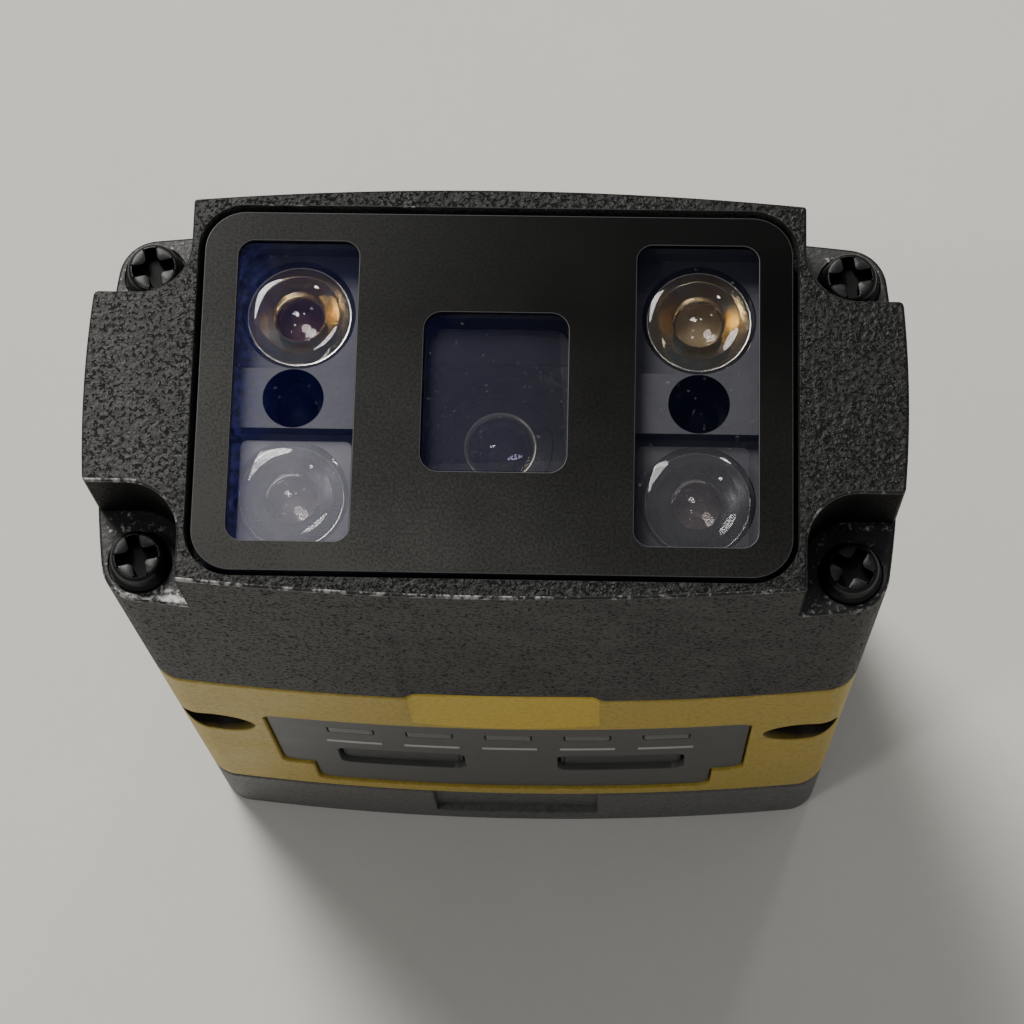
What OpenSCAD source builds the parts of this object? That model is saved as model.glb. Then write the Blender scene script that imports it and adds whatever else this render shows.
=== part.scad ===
// Fixed code reader standing on its rear cover.
// The window looks along +Z and the label face with its keys looks along -Y.

/* [Body] */
// Width between the crowned short sides
body_w = 43.1; // [42.8:0.1:44]
// Depth between the crowned long faces
body_d = 22.4; // [22:0.1:23.2]
// Height from the rear cover to the bezel
body_h = 64; // [63:0.5:70]
// Height of the black front housing
front_h = 24.7; // [24.4:0.1:25.6]
// Height of the rear cover
rear_h = 9.3; // [9:0.1:10]
// Radius of the crowned long faces
long_crown_r = 182; // [170:1:230]
// Radius of the crowned short sides
short_crown_r = 60; // [54:1:76]
// Radius of the upright corners
corner_r = 2.2; // [2:0.1:2.5]

/* [Shells] */
// Wall of the long faces
wall_y = 2; // [1.9:0.05:2.1]
// Wall of the short sides
wall_x = 1.95; // [1.8:0.05:2.1]
// Width of the corner columns
col_w = 5.65; // [5.5:0.05:5.8]
// Depth of the corner columns
col_d = 6.6; // [6.4:0.05:6.8]
// Width of the rims that clamp the chassis rails
clamp_w = 2.1; // [1.8:0.1:2.4]
// Corner radius of the hollows
hollow_r = 0.8; // [0.5:0.1:1.2]
// Floor of the rear cover
rear_floor_t = 2.2; // [2:0.1:2.6]
// Thickness of the flat seals
seal_t = 0.4; // [0.3:0.05:0.5]
// Setback of the seals from the outer faces
seal_setback = 0.4; // [0.3:0.05:0.6]
// Air between inner pieces and the shells
inner_gap = 0.4; // [0.3:0.05:0.5]

/* [Grooves] */
// Width of the groove in the front housing
groove_w = 12; // [10:0.5:13]
// Depth of the groove
groove_d = 0.33; // [0.25:0.01:0.45]
// Height of the groove above the front seal
groove_h = 14.7; // [12:0.1:15.5]
// Length of the ramp at the upper end
groove_ramp = 2.4; // [1.5:0.1:3]
// Width of the groove in the middle cover
lead_w = 11.6; // [10:0.1:12.5]
// Length of its ramp
lead_ramp = 3.6; // [2.5:0.1:4.5]
// Gap between its ramp and the label panel
lead_gap = 0.5; // [0.3:0.1:1.2]
// Width of the recess in the rear cover
rear_recess_w = 11.2; // [9:0.1:12]
// Depth of the recess in the rear cover
rear_recess_d = 0.6; // [0.4:0.05:0.8]
// Floor left under the recess in the rear cover
rear_recess_z = 2.6; // [2:0.1:4]

/* [Bezel] */
// Length of the side ears beside the window frame
ear_l = 5.3; // [5.2:0.05:5.4]
// Inset of the side ears from the long faces
ear_inset = 5.95; // [5.8:0.05:6.1]
// Radius of the notch around each screw
notch_r = 2.75; // [2.6:0.05:2.8]
// Drop from the bezel to the screw ledges
ledge_drop = 5.6; // [5:0.1:6]
// Width of the rim beside the window
rim_side = 0.4; // [0.35:0.01:0.5]
// Width of the rim at mid length of the window
rim_end = 1.07; // [1.05:0.01:1.2]
// Corner radius of the window recess
recess_r = 2.45; // [2.3:0.05:2.6]
// Width of the seat under the pane
seat_w = 1.25; // [1.15:0.05:1.35]
// Thickness of the front wall under the seat
front_wall_t = 1.75; // [1.6:0.05:1.75]
// Wall between the notches and the hollow
frame_wall = 1.05; // [1:0.05:1.15]

/* [Window] */
// Drop from the bezel to the mask film
mask_drop = 0.15; // [0.1:0.01:0.3]
// Thickness of the mask film
mask_t = 0.2; // [0.15:0.01:0.25]
// Thickness of the pane
pane_t = 1.2; // [1.1:0.05:1.4]
// Thickness of the pane gasket
gasket_t = 0.3; // [0.25:0.01:0.4]
// Gap around the pane
pane_gap = 0.3; // [0.2:0.01:0.35]
// Setback of the gasket from the seat opening
gasket_setback = 0.1; // [0.05:0.01:0.2]
// Margin between the light windows and the sides of the opening
light_margin_x = 0.85; // [0.7:0.05:1]
// Width of the light windows
light_window_w = 6.4; // [6.2:0.05:6.5]
// Margin between the light windows and the ends of the opening
light_margin_y = 0.66; // [0.58:0.02:0.88]
// Corner radius of the light windows
light_window_r = 0.85; // [0.6:0.05:1.2]
// Width of the camera window
camera_window_w = 7.6; // [7.2:0.1:8]
// Height of the camera window
camera_window_d = 8.7; // [8.2:0.1:9]
// Corner radius of the camera window
camera_window_r = 0.95; // [0.6:0.05:1.3]
// Thickness of the polarising films
film_t = 0.15; // [0.1:0.01:0.2]
// Width of the camera film
camera_film_w = 7.6; // [7.2:0.1:8]
// Height of the camera film
camera_film_d = 7.8; // [7.4:0.1:8.2]
// Corner radius of the films
film_r = 0.4; // [0.2:0.05:0.6]
// Shift of the side films towards the middle of the window
film_shift = 0.15; // [0.05:0.01:0.35]
// Width of the side films
side_film_w = 5.9; // [5.6:0.1:6.1]
// Height of the side films
side_film_d = 5.95; // [5.6:0.05:6]
// Lap of the side films below the light windows
film_lap = 0.155; // [0.1:0.005:0.25]

/* [Illumination] */
// Shift of the lenses towards the sides of their windows
led_shift = 0.15; // [0:0.05:0.2]
// Shift of the lenses away from the bridge
led_lift = 0.03; // [0:0.01:0.08]
// Margin of the lens rims in their pockets
lens_margin = 0.37; // [0.32:0.01:0.47]
// Thickness of the lens rim
lens_flange_t = 0.5; // [0.4:0.05:0.6]
// Height of a lens
lens_h = 3.2; // [3:0.1:3.4]
// Radius of the lens tail at the board
lens_tail_r = 1.95; // [1.85:0.05:2.1]
// Step between the rim and the cone of a lens
lens_step = 0.3; // [0.25:0.01:0.35]
// Radius of the well in the lens front
well_r = 1.4; // [1.35:0.05:1.5]
// Depth of the well
well_d = 1; // [0.9:0.05:1]
// Radius of the dome in the well
dome_r = 1.25; // [1.15:0.05:1.3]
// Height of the dome
dome_h = 0.75; // [0.6:0.05:0.8]
// Radius of the hollow over the emitter
lens_hollow_r = 1.5; // [1.45:0.01:1.55]
// Height of the hollow over the emitter
lens_hollow_h = 1.6; // [1.5:0.05:1.7]
// Radial play of a lens in the carrier
lens_play = 0.05; // [0.03:0.01:0.1]
// Side of the emitter base
emitter_w = 2; // [1.8:0.1:2]
// Height of the emitter base
emitter_h = 0.5; // [0.4:0.05:0.55]
// Radius of the emitter dome
emitter_r = 0.85; // [0.7:0.05:0.9]
// Height of the bridge between the light pockets
land_d = 3.3; // [3.2:0.02:3.5]
// Air between the films and the carrier
land_gap = 0.1; // [0.08:0.01:0.2]
// Drop from the bridge to the lens fronts
lens_drop = 1.1; // [1:0.05:1.2]
// Margin of the pockets around the light windows
pocket_margin = 0.17; // [0.1:0.01:0.2]
// Air around the carrier
carrier_gap = 0.2; // [0.15:0.01:0.25]
// Radius of an aimer
aimer_r = 1.55; // [1.5:0.01:1.58]
// Height of an aimer
aimer_h = 6.3; // [5.5:0.1:7]
// Drop from the bridge to the aimer front
aimer_drop = 2.2; // [1.8:0.1:2.6]
// Radius of the recess in the aimer front
aimer_eye_r = 1.15; // [1:0.05:1.2]
// Depth of the recess in the aimer front
aimer_eye_d = 0.9; // [0.8:0.1:1.2]
// Height of the aimer lens dome
aimer_dome_h = 0.45; // [0.3:0.05:0.5]
// Radial play of an aimer in the carrier
aimer_play = 0.07; // [0.05:0.01:0.1]
// Radial air of an aimer in the board
aimer_air = 0.2; // [0.15:0.01:0.25]
// Width of the camera tunnel
tunnel_w = 8.4; // [8.2:0.1:8.6]
// Height of the camera tunnel
tunnel_d = 9.2; // [9:0.1:9.4]
// Wall of the camera tunnel
tunnel_wall = 0.9; // [0.8:0.05:0.95]
// Corner radius of the camera tunnel
tunnel_r = 0.9; // [0.7:0.05:1]
// Air between the tunnel and the lens barrel
tunnel_air = 0.6; // [0.5:0.05:0.8]

/* [Camera] */
// Drop from the bezel to the lens barrel
barrel_drop = 10; // [9.8:0.1:10.4]
// Radius of the lens barrel
barrel_r = 4; // [3.9:0.05:4.1]
// Height of the lens barrel
barrel_h = 7.5; // [7:0.1:7.6]
// Radius of the seat for the front element
element_r = 2.9; // [2.8:0.05:3]
// Thickness of the front element at its edge
element_t = 0.7; // [0.6:0.05:0.8]
// Free radius of the front element
aperture_r = 1.75; // [1.65:0.05:1.85]
// Rise of the front element
element_rise = 0.35; // [0.25:0.05:0.4]
// Thickness of the retaining ring
ring_t = 0.6; // [0.55:0.05:0.6]
// Drop from the barrel front to the retaining ring
ring_drop = 0.1; // [0.05:0.01:0.15]
// Bore of the lens barrel
barrel_bore_r = 2.4; // [2.2:0.05:2.5]
// Play of pieces in the barrel and the holder
optic_play = 0.05; // [0.03:0.01:0.08]
// Drop from the barrel front to the lens holder
holder_drop = 4; // [3.8:0.1:4.3]
// Side of the lens holder
holder_w = 12; // [11.6:0.1:12.2]
// Side of the hollow over the sensor
holder_hollow_w = 8.4; // [8.2:0.1:8.6]
// Height of the hollow over the sensor
holder_hollow_h = 3; // [2.6:0.1:3.2]
// Outer radius of the lock ring
lock_r = 5.6; // [5.2:0.1:5.8]
// Thickness of the lock ring
lock_t = 1.2; // [1:0.1:1.4]
// Drop from the bezel to the sensor board
sensor_drop = 21.5; // [21.2:0.1:21.8]
// Side of the image sensor
sensor_w = 6.4; // [6:0.1:7]
// Thickness of the image sensor
sensor_t = 1; // [0.8:0.1:1.2]

/* [Boards] */
// Thickness of the circuit boards
board_t = 1.2; // [1:0.05:1.3]
// Drop from the front seal to the chassis plate
plate_drop = 0.9; // [0.7:0.1:1]
// Thickness of the chassis plate
plate_t = 2; // [1.8:0.1:2.2]
// Overhang of the rails into the hollow
rail_over = 0.9; // [0.8:0.05:1]
// Depth of the board slots in the rails
slot_d = 1.2; // [1:0.1:1.4]
// Play of a board in its slots
slot_play = 0.1; // [0.05:0.01:0.12]
// Offset of the processor board behind the middle
processor_y = 2; // [1.8:0.1:2.2]
// Offset of the power board before the middle
power_y = 2.2; // [2:0.1:2.3]
// Gap between the rear cover and the socket board
socket_board_rise = 2.9; // [2.7:0.1:3]
// Depth of the socket board
socket_board_d = 14.4; // [13.8:0.1:14.8]
// Air under the upright boards
board_foot = 0.3; // [0.2:0.05:0.4]
// Width of the processor
chip_w = 12; // [10:0.5:13]
// Thickness of the processor
chip_t = 1.4; // [1.2:0.1:1.6]
// Width of the heat spreader
spreader_w = 14; // [13:0.5:14.5]
// Height of the heat spreader above the socket board
spreader_rise = 5.6; // [5:0.1:6]
// Air between the heat spreader and the sensor connector
spreader_air = 1; // [0.6:0.1:1.4]
// Lip of the heat spreader above and below the processor
spreader_lip = 1; // [0.8:0.1:1.4]
// Air between the heat spreader and the shell
spreader_gap = 0.3; // [0.2:0.05:0.4]
// Radius of the beeper
beeper_r = 4.2; // [3.8:0.1:4.4]
// Height of the beeper
beeper_h = 3; // [2.6:0.1:3.2]
// Distance of the beeper from the middle
beeper_x = 8; // [7.5:0.1:8.5]
// Drop from the top of the power board to the beeper
beeper_drop = 3.2; // [2.8:0.1:3.6]
// Length of the stacking connector
stack_w = 16; // [14:0.5:18]
// Height of the stacking connector
stack_h = 3; // [2.6:0.1:3.4]
// Height of the stacking connector above the socket board
stack_z = 11; // [10:0.1:12]
// Length of the power header
header_w = 9; // [8:0.1:9.2]
// Depth of the power header
header_d = 2.8; // [2.4:0.1:3]
// Height of the power header
header_h = 3.2; // [3:0.1:4]
// Length of the sensor connector
link_w = 12; // [10:0.5:12.5]
// Depth of the sensor connector
link_d = 2.8; // [2.4:0.1:3]
// Lap of the sensor connector on the processor board
link_lap = 2.3; // [2:0.1:2.4]
// Width of the light flex
flex_w = 6; // [5:0.5:7]
// Thickness of the light flex
flex_t = 0.3; // [0.2:0.02:0.4]
// Setback of the light flex from the sensor board edge
flex_setback = 0.6; // [0.4:0.1:0.8]

/* [Label] */
// Inset of the label panel from the short sides
label_inset = 6.55; // [6.4:0.05:7]
// Height of the label panel
label_h = 14.5; // [14:0.1:14.6]
// Height of the label panel above the floor
label_z = 16.5; // [16.3:0.1:16.6]
// Step between the sides of the label panel and its lower tab
tab_inset = 2; // [1.5:0.1:3]
// Height of the lower tab
tab_h = 5; // [4.5:0.1:5.4]
// Corner radius of the label panel
label_r = 0.9; // [0.6:0.1:1.2]
// Sink of the label panel below the shell
label_drop = 0.25; // [0.2:0.01:0.3]
// Thickness of the label panel
label_t = 0.55; // [0.5:0.01:0.6]
// Gap around the label panel
label_gap = 0.12; // [0.1:0.01:0.2]
// Number of indicators
indicators = 5; // [3:2:5]
// Pitch of the indicators
indicator_pitch = 4.95; // [4.7:0.05:5.1]
// Height of the indicator row above the floor
indicator_z = 27.3; // [27:0.1:27.6]
// Width of an indicator
indicator_w = 2.8; // [2.4:0.1:3]
// Height of an indicator
indicator_h = 1.3; // [1.1:0.1:1.5]
// Play around an indicator
indicator_play = 0.08; // [0.05:0.01:0.1]
// Margin of the bar that joins the indicators
pipe_margin = 0.5; // [0.4:0.05:0.6]
// Thickness of the bar that joins the indicators
pipe_t = 0.4; // [0.3:0.05:0.4]
// Air around the bar
pipe_air = 0.1; // [0.08:0.01:0.14]

/* [Keys] */
// Distance of the keys from the middle
key_x = 7.1; // [6.9:0.1:7.2]
// Height of the key centres above the floor
key_z = 19.4; // [19.2:0.1:19.6]
// Width of a key
key_w = 7.9; // [7.4:0.1:8.1]
// Height of a key
key_h = 4.4; // [4:0.1:4.6]
// Corner radius of a key
key_r = 0.7; // [0.5:0.1:1]
// Sink of a key below the shell
key_drop = 0.6; // [0.5:0.01:0.65]
// Gap between a key and the label panel
key_gap = 0.15; // [0.12:0.01:0.2]
// Width of the flange that keeps a key in
key_flange = 0.5; // [0.4:0.05:0.55]
// Thickness of the key flange
key_flange_t = 0.4; // [0.35:0.01:0.45]
// Gap between the flange and the label panel
key_flange_gap = 0.12; // [0.1:0.01:0.15]
// Gap between the flange and the shell
key_hole_gap = 0.2; // [0.15:0.01:0.25]
// Radius of the key plunger
plunger_r = 1.1; // [1:0.05:1.2]
// Travel of a key
key_travel = 0.3; // [0.2:0.01:0.3]
// Air left under a pressed key
key_stop = 0.05; // [0.04:0.01:0.08]
// Thickness of the key board
key_board_t = 0.8; // [0.7:0.05:0.9]
// Gap between the key board and the sides of the hollow
key_board_gap = 1.7; // [1.5:0.1:1.9]
// Reach of the key board above the indicators
key_board_over = 1.3; // [1:0.1:2]
// Reach of the key board below the key centres
key_board_under = 5.4; // [5.3:0.1:5.6]
// Height of the posts under the key board
key_post_h = 0.8; // [0.78:0.01:0.84]
// Radius of the posts under the key board
key_post_r = 1.4; // [1.2:0.1:1.4]
// Gap between the keys and the upper posts
key_post_gap = 0.5; // [0.3:0.05:0.7]
// Inset of the key board screws from its sides
key_screw_inset = 1.3; // [1.25:0.01:1.35]
// Depth left under a key board screw
key_tap_spare = 0.1; // [0.05:0.01:0.15]
// Width of a key switch
switch_w = 4.4; // [4:0.1:4.6]
// Depth of a key switch
switch_d = 3.2; // [3:0.1:3.6]
// Thickness of a key switch
switch_t = 0.5; // [0.45:0.01:0.5]
// Radius of a switch plunger
switch_r = 1; // [0.9:0.05:1.1]
// Rise of a switch plunger
switch_rise = 0.25; // [0.2:0.01:0.25]
// Length of an indicator chip
diode_w = 1.6; // [1.4:0.1:1.8]
// Width of an indicator chip
diode_d = 0.8; // [0.7:0.05:0.9]
// Thickness of an indicator chip
diode_t = 0.2; // [0.15:0.01:0.2]

/* [Mounting] */
// Inset of the mounting holes from the short sides
mount_inset = 3.35; // [3.25:0.05:3.55]
// Clearance between the mounting pockets and the front screw holes
mount_clear = 1.1; // [0.8:0.1:1.4]
// Wall radius of a mounting hole
mount_r = 1.25; // [1.2:0.01:1.3]
// Length of a mounting hole
mount_depth = 3.6; // [3.2:0.1:3.7]
// Radius of the pocket around a mounting hole
mount_pocket_r = 2.3; // [2.1:0.05:2.4]
// Depth of the pocket from the crest of the face
mount_pocket_d = 2.2; // [2:0.05:2.3]

/* [Sockets] */
// Distance of the sockets from the middle
socket_x = 8.2; // [8.1:0.05:8.3]
// Outer radius of a socket shell
socket_r = 6.5; // [6.4:0.05:6.55]
// Thread radius of a socket shell
socket_bore_r = 5.45; // [5.4:0.01:5.5]
// Radius of the flange of a socket shell
socket_flange_r = 7.6; // [7.4:0.05:7.7]
// Thickness of the flange of a socket shell
socket_flange_t = 1.2; // [1:0.1:1.4]
// Sink of a socket shell in the rear cover
socket_sink = 0.3; // [0.2:0.05:0.5]
// Radial air of a socket shell in the rear cover
socket_air = 0.1; // [0.05:0.01:0.12]
// Radius of the insert post
insert_r = 4.15; // [4.1:0.01:4.2]
// Sink of the insert post
insert_sink = 0.9; // [0.7:0.1:1.2]
// Height of the lip that holds an insert
insert_lip_h = 3.6; // [3:0.1:4]
// Radial play of an insert
insert_play = 0.05; // [0.03:0.01:0.07]
// Width of the key slot in an insert
insert_key_w = 1; // [0.8:0.1:1.2]
// Depth of the key slot in an insert
insert_key_d = 0.6; // [0.4:0.05:0.7]
// Radius of a contact
contact_r = 0.5; // [0.46:0.01:0.52]
// Bore of a contact
contact_bore_r = 0.3; // [0.28:0.01:0.32]
// Depth of the bore of a contact
contact_bore_d = 5; // [4:0.1:6]
// Sink of the contacts in the insert
contact_sink = 0.4; // [0.3:0.05:0.6]
// Radial play of a contact
contact_play = 0.05; // [0.04:0.01:0.06]
// Circle of the outer contacts
contact_circle = 2.75; // [2.7:0.01:2.85]
// Circle of the inner contacts
inner_circle = 1; // [0.95:0.01:1.05]
// Number of contacts in the network socket
network_pins = 8; // [6:1:8]
// Number of outer contacts in the power socket
power_pins = 8; // [6:1:8]
// Number of inner contacts in the power socket
inner_pins = 4; // [2:1:4]

/* [Screws] */
// Inset of the front screws from the short sides
screw_inset_x = 2.65; // [2.6:0.01:2.7]
// Inset of the front screws from the long faces
screw_inset_y = 3.1; // [3.05:0.01:3.15]
// Shank radius of a shell screw
screw_r = 0.75; // [0.7:0.01:0.77]
// Clearance hole radius for a shell screw
screw_hole_r = 1.15; // [1.1:0.01:1.2]
// Tapped hole radius for a shell screw
screw_tap_r = 0.8; // [0.79:0.01:0.85]
// Head radius of a shell screw
screw_head_r = 1.75; // [1.7:0.01:1.8]
// Head height of a shell screw
screw_head_h = 1.6; // [1.4:0.05:1.7]
// Height and width of the slope around the top of a screw head
screw_head_slope = 0.4; // [0.3:0.05:0.45]
// Radius of the spot face under a front screw
spot_r = 1.95; // [1.9:0.01:2]
// Depth of the spot face
spot_d = 0.2; // [0.15:0.01:0.3]
// Grip of a screw in its tapped hole
screw_grip = 7; // [6:0.1:7]
// Depth left under a screw in its tapped hole
tap_spare = 1; // [0.8:0.1:1.2]
// Length of the arms of a cross recess
cross_w = 2.2; // [2:0.05:2.3]
// Width of the arms of a cross recess
cross_t = 0.6; // [0.55:0.01:0.65]
// Depth of a cross recess
cross_d = 0.9; // [0.8:0.05:1]
// Inset of the rear screws from the short sides
rear_inset_x = 3.55; // [3.45:0.05:3.65]
// Inset of the rear screws from the long faces
rear_inset_y = 3.9; // [3.8:0.05:4]
// Depth of the rear counterbores
rear_counterbore_d = 2; // [1.9:0.05:2.1]
// Radius of the rear counterbores
rear_counterbore_r = 1.95; // [1.9:0.01:2]
// Shank radius of a board screw
small_r = 0.55; // [0.5:0.01:0.57]
// Tapped hole radius for a board screw
small_tap_r = 0.6; // [0.59:0.01:0.65]
// Clearance hole radius for a board screw
small_hole_r = 0.8; // [0.75:0.01:0.85]
// Head radius of a board screw
small_head_r = 1.2; // [1.15:0.01:1.25]
// Head height of a board screw
small_head_h = 0.8; // [0.7:0.05:0.9]
// Grip of a light board screw in the carrier
light_grip = 2; // [1.8:0.1:2.2]
// Grip of a sensor board screw in its post
sensor_grip = 2.4; // [2:0.1:2.6]
// Grip of a key board screw in its post
key_grip = 1; // [0.9:0.01:1]
// Distance of the light board screws from the lenses
light_screw_step = 4.15; // [4.1:0.01:4.2]
// Inset of the light board screws from its long edges
light_screw_inset = 1.5; // [1.45:0.01:1.55]
// Depth left under a board screw
small_tap_spare = 0.5; // [0.4:0.05:0.6]
// Inset of the sensor board screws from its edges
sensor_screw_inset = 1.9; // [1.8:0.05:2]
// Radius of the posts under the sensor board
sensor_post_r = 1.6; // [1.5:0.05:1.7]

/* [Hidden] */
$fn = 64;
crown_fn = 1440;
cut = 1;

z_front = body_h - front_h;
z_mid_top = z_front - seal_t;
z_mid_low = rear_h + seal_t;
z_ledge = body_h - ledge_drop;
z_pane_top = body_h - mask_drop - mask_t;
z_pane_low = z_pane_top - pane_t;
z_seat = z_pane_low - gasket_t;
z_wall = z_seat - front_wall_t;
z_film = z_pane_low - film_t;
z_land = z_film - land_gap;
z_lens = z_land - lens_drop;
z_lens_seat = z_lens - lens_flange_t;
z_light = z_lens - lens_h;
z_light_low = z_light - board_t;
z_barrel = body_h - barrel_drop;
z_ring = z_barrel - ring_drop;
z_element = z_ring - ring_t;
z_holder = z_barrel - holder_drop;
z_sensor = body_h - sensor_drop;
z_sensor_low = z_sensor - board_t;
z_plate = z_front - plate_drop;
z_plate_low = z_plate - plate_t;
z_socket = rear_h + socket_board_rise;
z_socket_top = z_socket + board_t;
z_foot = z_socket_top + board_foot;
z_board_top = z_plate_low - slot_play;

z_spreader = z_socket_top + spreader_rise;
z_spreader_top = z_board_top - link_lap - spreader_air;
z_beeper = z_board_top - beeper_drop - beeper_r;
z_label_top = label_z + label_h;
z_lead = z_label_top + lead_gap;

crown_y = long_crown_r - body_d / 2;
crown_x = short_crown_r - body_w / 2;
frame_w = body_w - 2 * ear_l;
ear_d = body_d - 2 * ear_inset;
screw_x = body_w / 2 - screw_inset_x;
screw_y = body_d / 2 - screw_inset_y;
rear_screw_x = body_w / 2 - rear_inset_x;
rear_screw_y = body_d / 2 - rear_inset_y;
mount_x = body_w / 2 - mount_inset;
mount_z = z_mid_top - screw_grip - tap_spare - mount_clear - mount_pocket_r;
label_w = body_w - 2 * label_inset;
tab_w = label_w - 2 * tab_inset;
recess_w = frame_w - 2 * rim_side;
recess_d = body_d - 2 * rim_end;
open_w = recess_w - 2 * seat_w;
open_d = recess_d - 2 * seat_w;
open_r = recess_r - seat_w;
pane_w = recess_w - 2 * pane_gap;
pane_d = recess_d - 2 * pane_gap;
pane_r = recess_r - pane_gap;
front_cav_w = frame_w - 2 * frame_wall;
cav_d = body_d - 2 * wall_y;
cav_w = body_w - 2 * col_w;
bay_w = body_w - 2 * wall_x;
bay_d = body_d - 2 * col_d;
clamp_bay_w = bay_w - 2 * clamp_w;
rail_x = cav_w / 2 - rail_over;
slot_board_w = 2 * (rail_x + slot_d - slot_play);
plate_w = cav_w - 2 * inner_gap;
plate_d = cav_d - 2 * inner_gap;
nose_w = open_w - 2 * carrier_gap;
nose_d = open_d - 2 * carrier_gap;
carrier_w = front_cav_w - 2 * carrier_gap;
carrier_d = cav_d - 2 * carrier_gap;
light_board_w = front_cav_w - 2 * inner_gap;
light_board_d = cav_d - 2 * inner_gap;
sensor_board_w = front_cav_w - 4 * inner_gap;
sensor_board_d = cav_d - 4 * inner_gap;
sensor_screw_x = sensor_board_w / 2 - sensor_screw_inset;
sensor_screw_y = sensor_board_d / 2 - sensor_screw_inset;
light_window_x = open_w / 2 - light_margin_x - light_window_w / 2;
light_window_d = open_d - 2 * light_margin_y;
side_film_x = light_window_x - film_shift;
side_film_y = light_window_d / 2 + film_lap - side_film_d / 2;
pocket_w = light_window_w + 2 * pocket_margin;
pocket_d = light_window_d / 2 + pocket_margin - land_d / 2;
pocket_y = land_d / 2 + pocket_d / 2;
led_x = light_window_x + led_shift;
led_y = pocket_y + led_lift;
lens_r = pocket_d / 2 - lens_margin;
light_screw_x = led_x - light_screw_step;
light_screw_y = light_board_d / 2 - light_screw_inset;
label_back = label_drop + label_t;
flange_front = label_back + key_flange_gap;
flange_back = flange_front + key_flange_t;
y_key_board = -(cav_d / 2 - key_post_h);
y_switch = y_key_board - switch_t - switch_rise;
y_plunger = y_switch - key_travel - key_stop;
y_pocket = body_d / 2 - mount_pocket_d;
key_board_w = cav_w - 2 * key_board_gap;
key_board_z = key_z - key_board_under;
key_board_h = indicator_z + key_board_over - key_board_z;
key_screw_x = key_board_w / 2 - key_screw_inset;
z_low_post = key_board_z + key_screw_inset;
z_high_post = key_z + key_h / 2 + key_flange + key_hole_gap + key_post_gap + key_post_r;
socket_board_w = 2 * (rail_x - inner_gap);
z_insert = insert_sink;
z_insert_lip = z_socket - insert_lip_h;
z_contact = insert_sink + contact_sink;

// Centre of the corner arc that runs into both crowned sides, set out a little so that it crosses them
corner_bite = 0.03;
long_centre = [0, -crown_y];
short_centre = [-crown_x, 0];
centre_gap = norm(short_centre - long_centre);
centre_dir = (short_centre - long_centre) / centre_gap;
centre_turn = [centre_dir.y, -centre_dir.x];
long_reach = long_crown_r - corner_r;
short_reach = short_crown_r - corner_r;
centre_along = (long_reach ^ 2 - short_reach ^ 2 + centre_gap ^ 2) / (2 * centre_gap);
centre_off = sqrt(long_reach ^ 2 - centre_along ^ 2);
corner_at = long_centre + centre_along * centre_dir + centre_off * centre_turn;

// Area inside the crowned sides, drawn in by inset
module crowned(inset) {
    intersection() {
        translate([0, -crown_y]) circle(long_crown_r - inset, $fn = crown_fn);
        translate([0, crown_y]) circle(long_crown_r - inset, $fn = crown_fn);
        translate([-crown_x, 0]) circle(short_crown_r - inset, $fn = crown_fn);
        translate([crown_x, 0]) circle(short_crown_r - inset, $fn = crown_fn);
    }
}

// Outline of the body, drawn in by inset
module outline(inset) {
    intersection() {
        crowned(inset);
        union() {
            square([2 * corner_at.x, 2 * body_d], center = true);
            square([2 * body_w, 2 * corner_at.y], center = true);
            four(corner_at.x + corner_bite, corner_at.y + corner_bite) circle(corner_r - inset);
        }
    }
}

// Rectangle with round corners
module rounded(w, d, r) {
    square([w - 2 * r, d], center = true);
    square([w, d - 2 * r], center = true);
    four(w / 2 - r, d / 2 - r) circle(r);
}

// Four copies at the corners of a rectangle
module four(x, y) {
    for (sx = [-1, 1], sy = [-1, 1])
        translate([sx * x, sy * y]) children();
}

// Slab of a flat outline between two heights
module slab(low, high) {
    translate([0, 0, low]) linear_extrude(high - low) children();
}

// Cylinder between two heights
module rod(r, low, high) {
    translate([0, 0, low]) cylinder(r = r, h = high - low);
}

// Outline drawn on the label face and run outwards from the middle plane
module outwards() {
    rotate([90, 0, 0]) linear_extrude(body_d) children();
}

// Band under the label face between two depths
module crown_band(from, to) {
    slab(z_mid_low, z_mid_top) intersection() {
        difference() {
            translate([0, crown_y]) circle(long_crown_r - from, $fn = crown_fn);
            translate([0, crown_y]) circle(long_crown_r - to, $fn = crown_fn);
        }
        translate([0, -body_d / 2]) square([frame_w, cav_d / 2], center = true);
    }
}

// Hollow of a shell with side bays
module hollow(w, bay) {
    rounded(w, cav_d, hollow_r);
    rounded(bay, bay_d, hollow_r);
}

// Cross recess with its top at the given height
module cross(z) {
    translate([0, 0, z - cross_d]) linear_extrude(cut + cross_d) {
        square([cross_w, cross_t], center = true);
        square([cross_t, cross_w], center = true);
    }
}

// Screw with a sloped head, the underside of the head at zero
module shell_screw(length) {
    difference() {
        union() {
            rod(screw_head_r, 0, screw_head_h - screw_head_slope);
            translate([0, 0, screw_head_h - screw_head_slope])
                cylinder(r1 = screw_head_r, r2 = screw_head_r - screw_head_slope, h = screw_head_slope);
            rod(screw_r, -length, 0);
        }
        cross(screw_head_h);
    }
}

// Small screw with the underside of its head at zero
module board_screw(length) {
    cylinder(r = small_head_r, h = small_head_h);
    rod(small_r, -length, 0);
}

// Corner area that is cut away over a screw ledge
module notch() {
    reach = body_w / 2;
    at = [frame_w / 2 + notch_r, ear_d / 2 + notch_r];
    translate(at) circle(notch_r);
    translate([frame_w / 2, at.y]) square(reach);
    translate([at.x, ear_d / 2]) square(reach);
}

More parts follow.
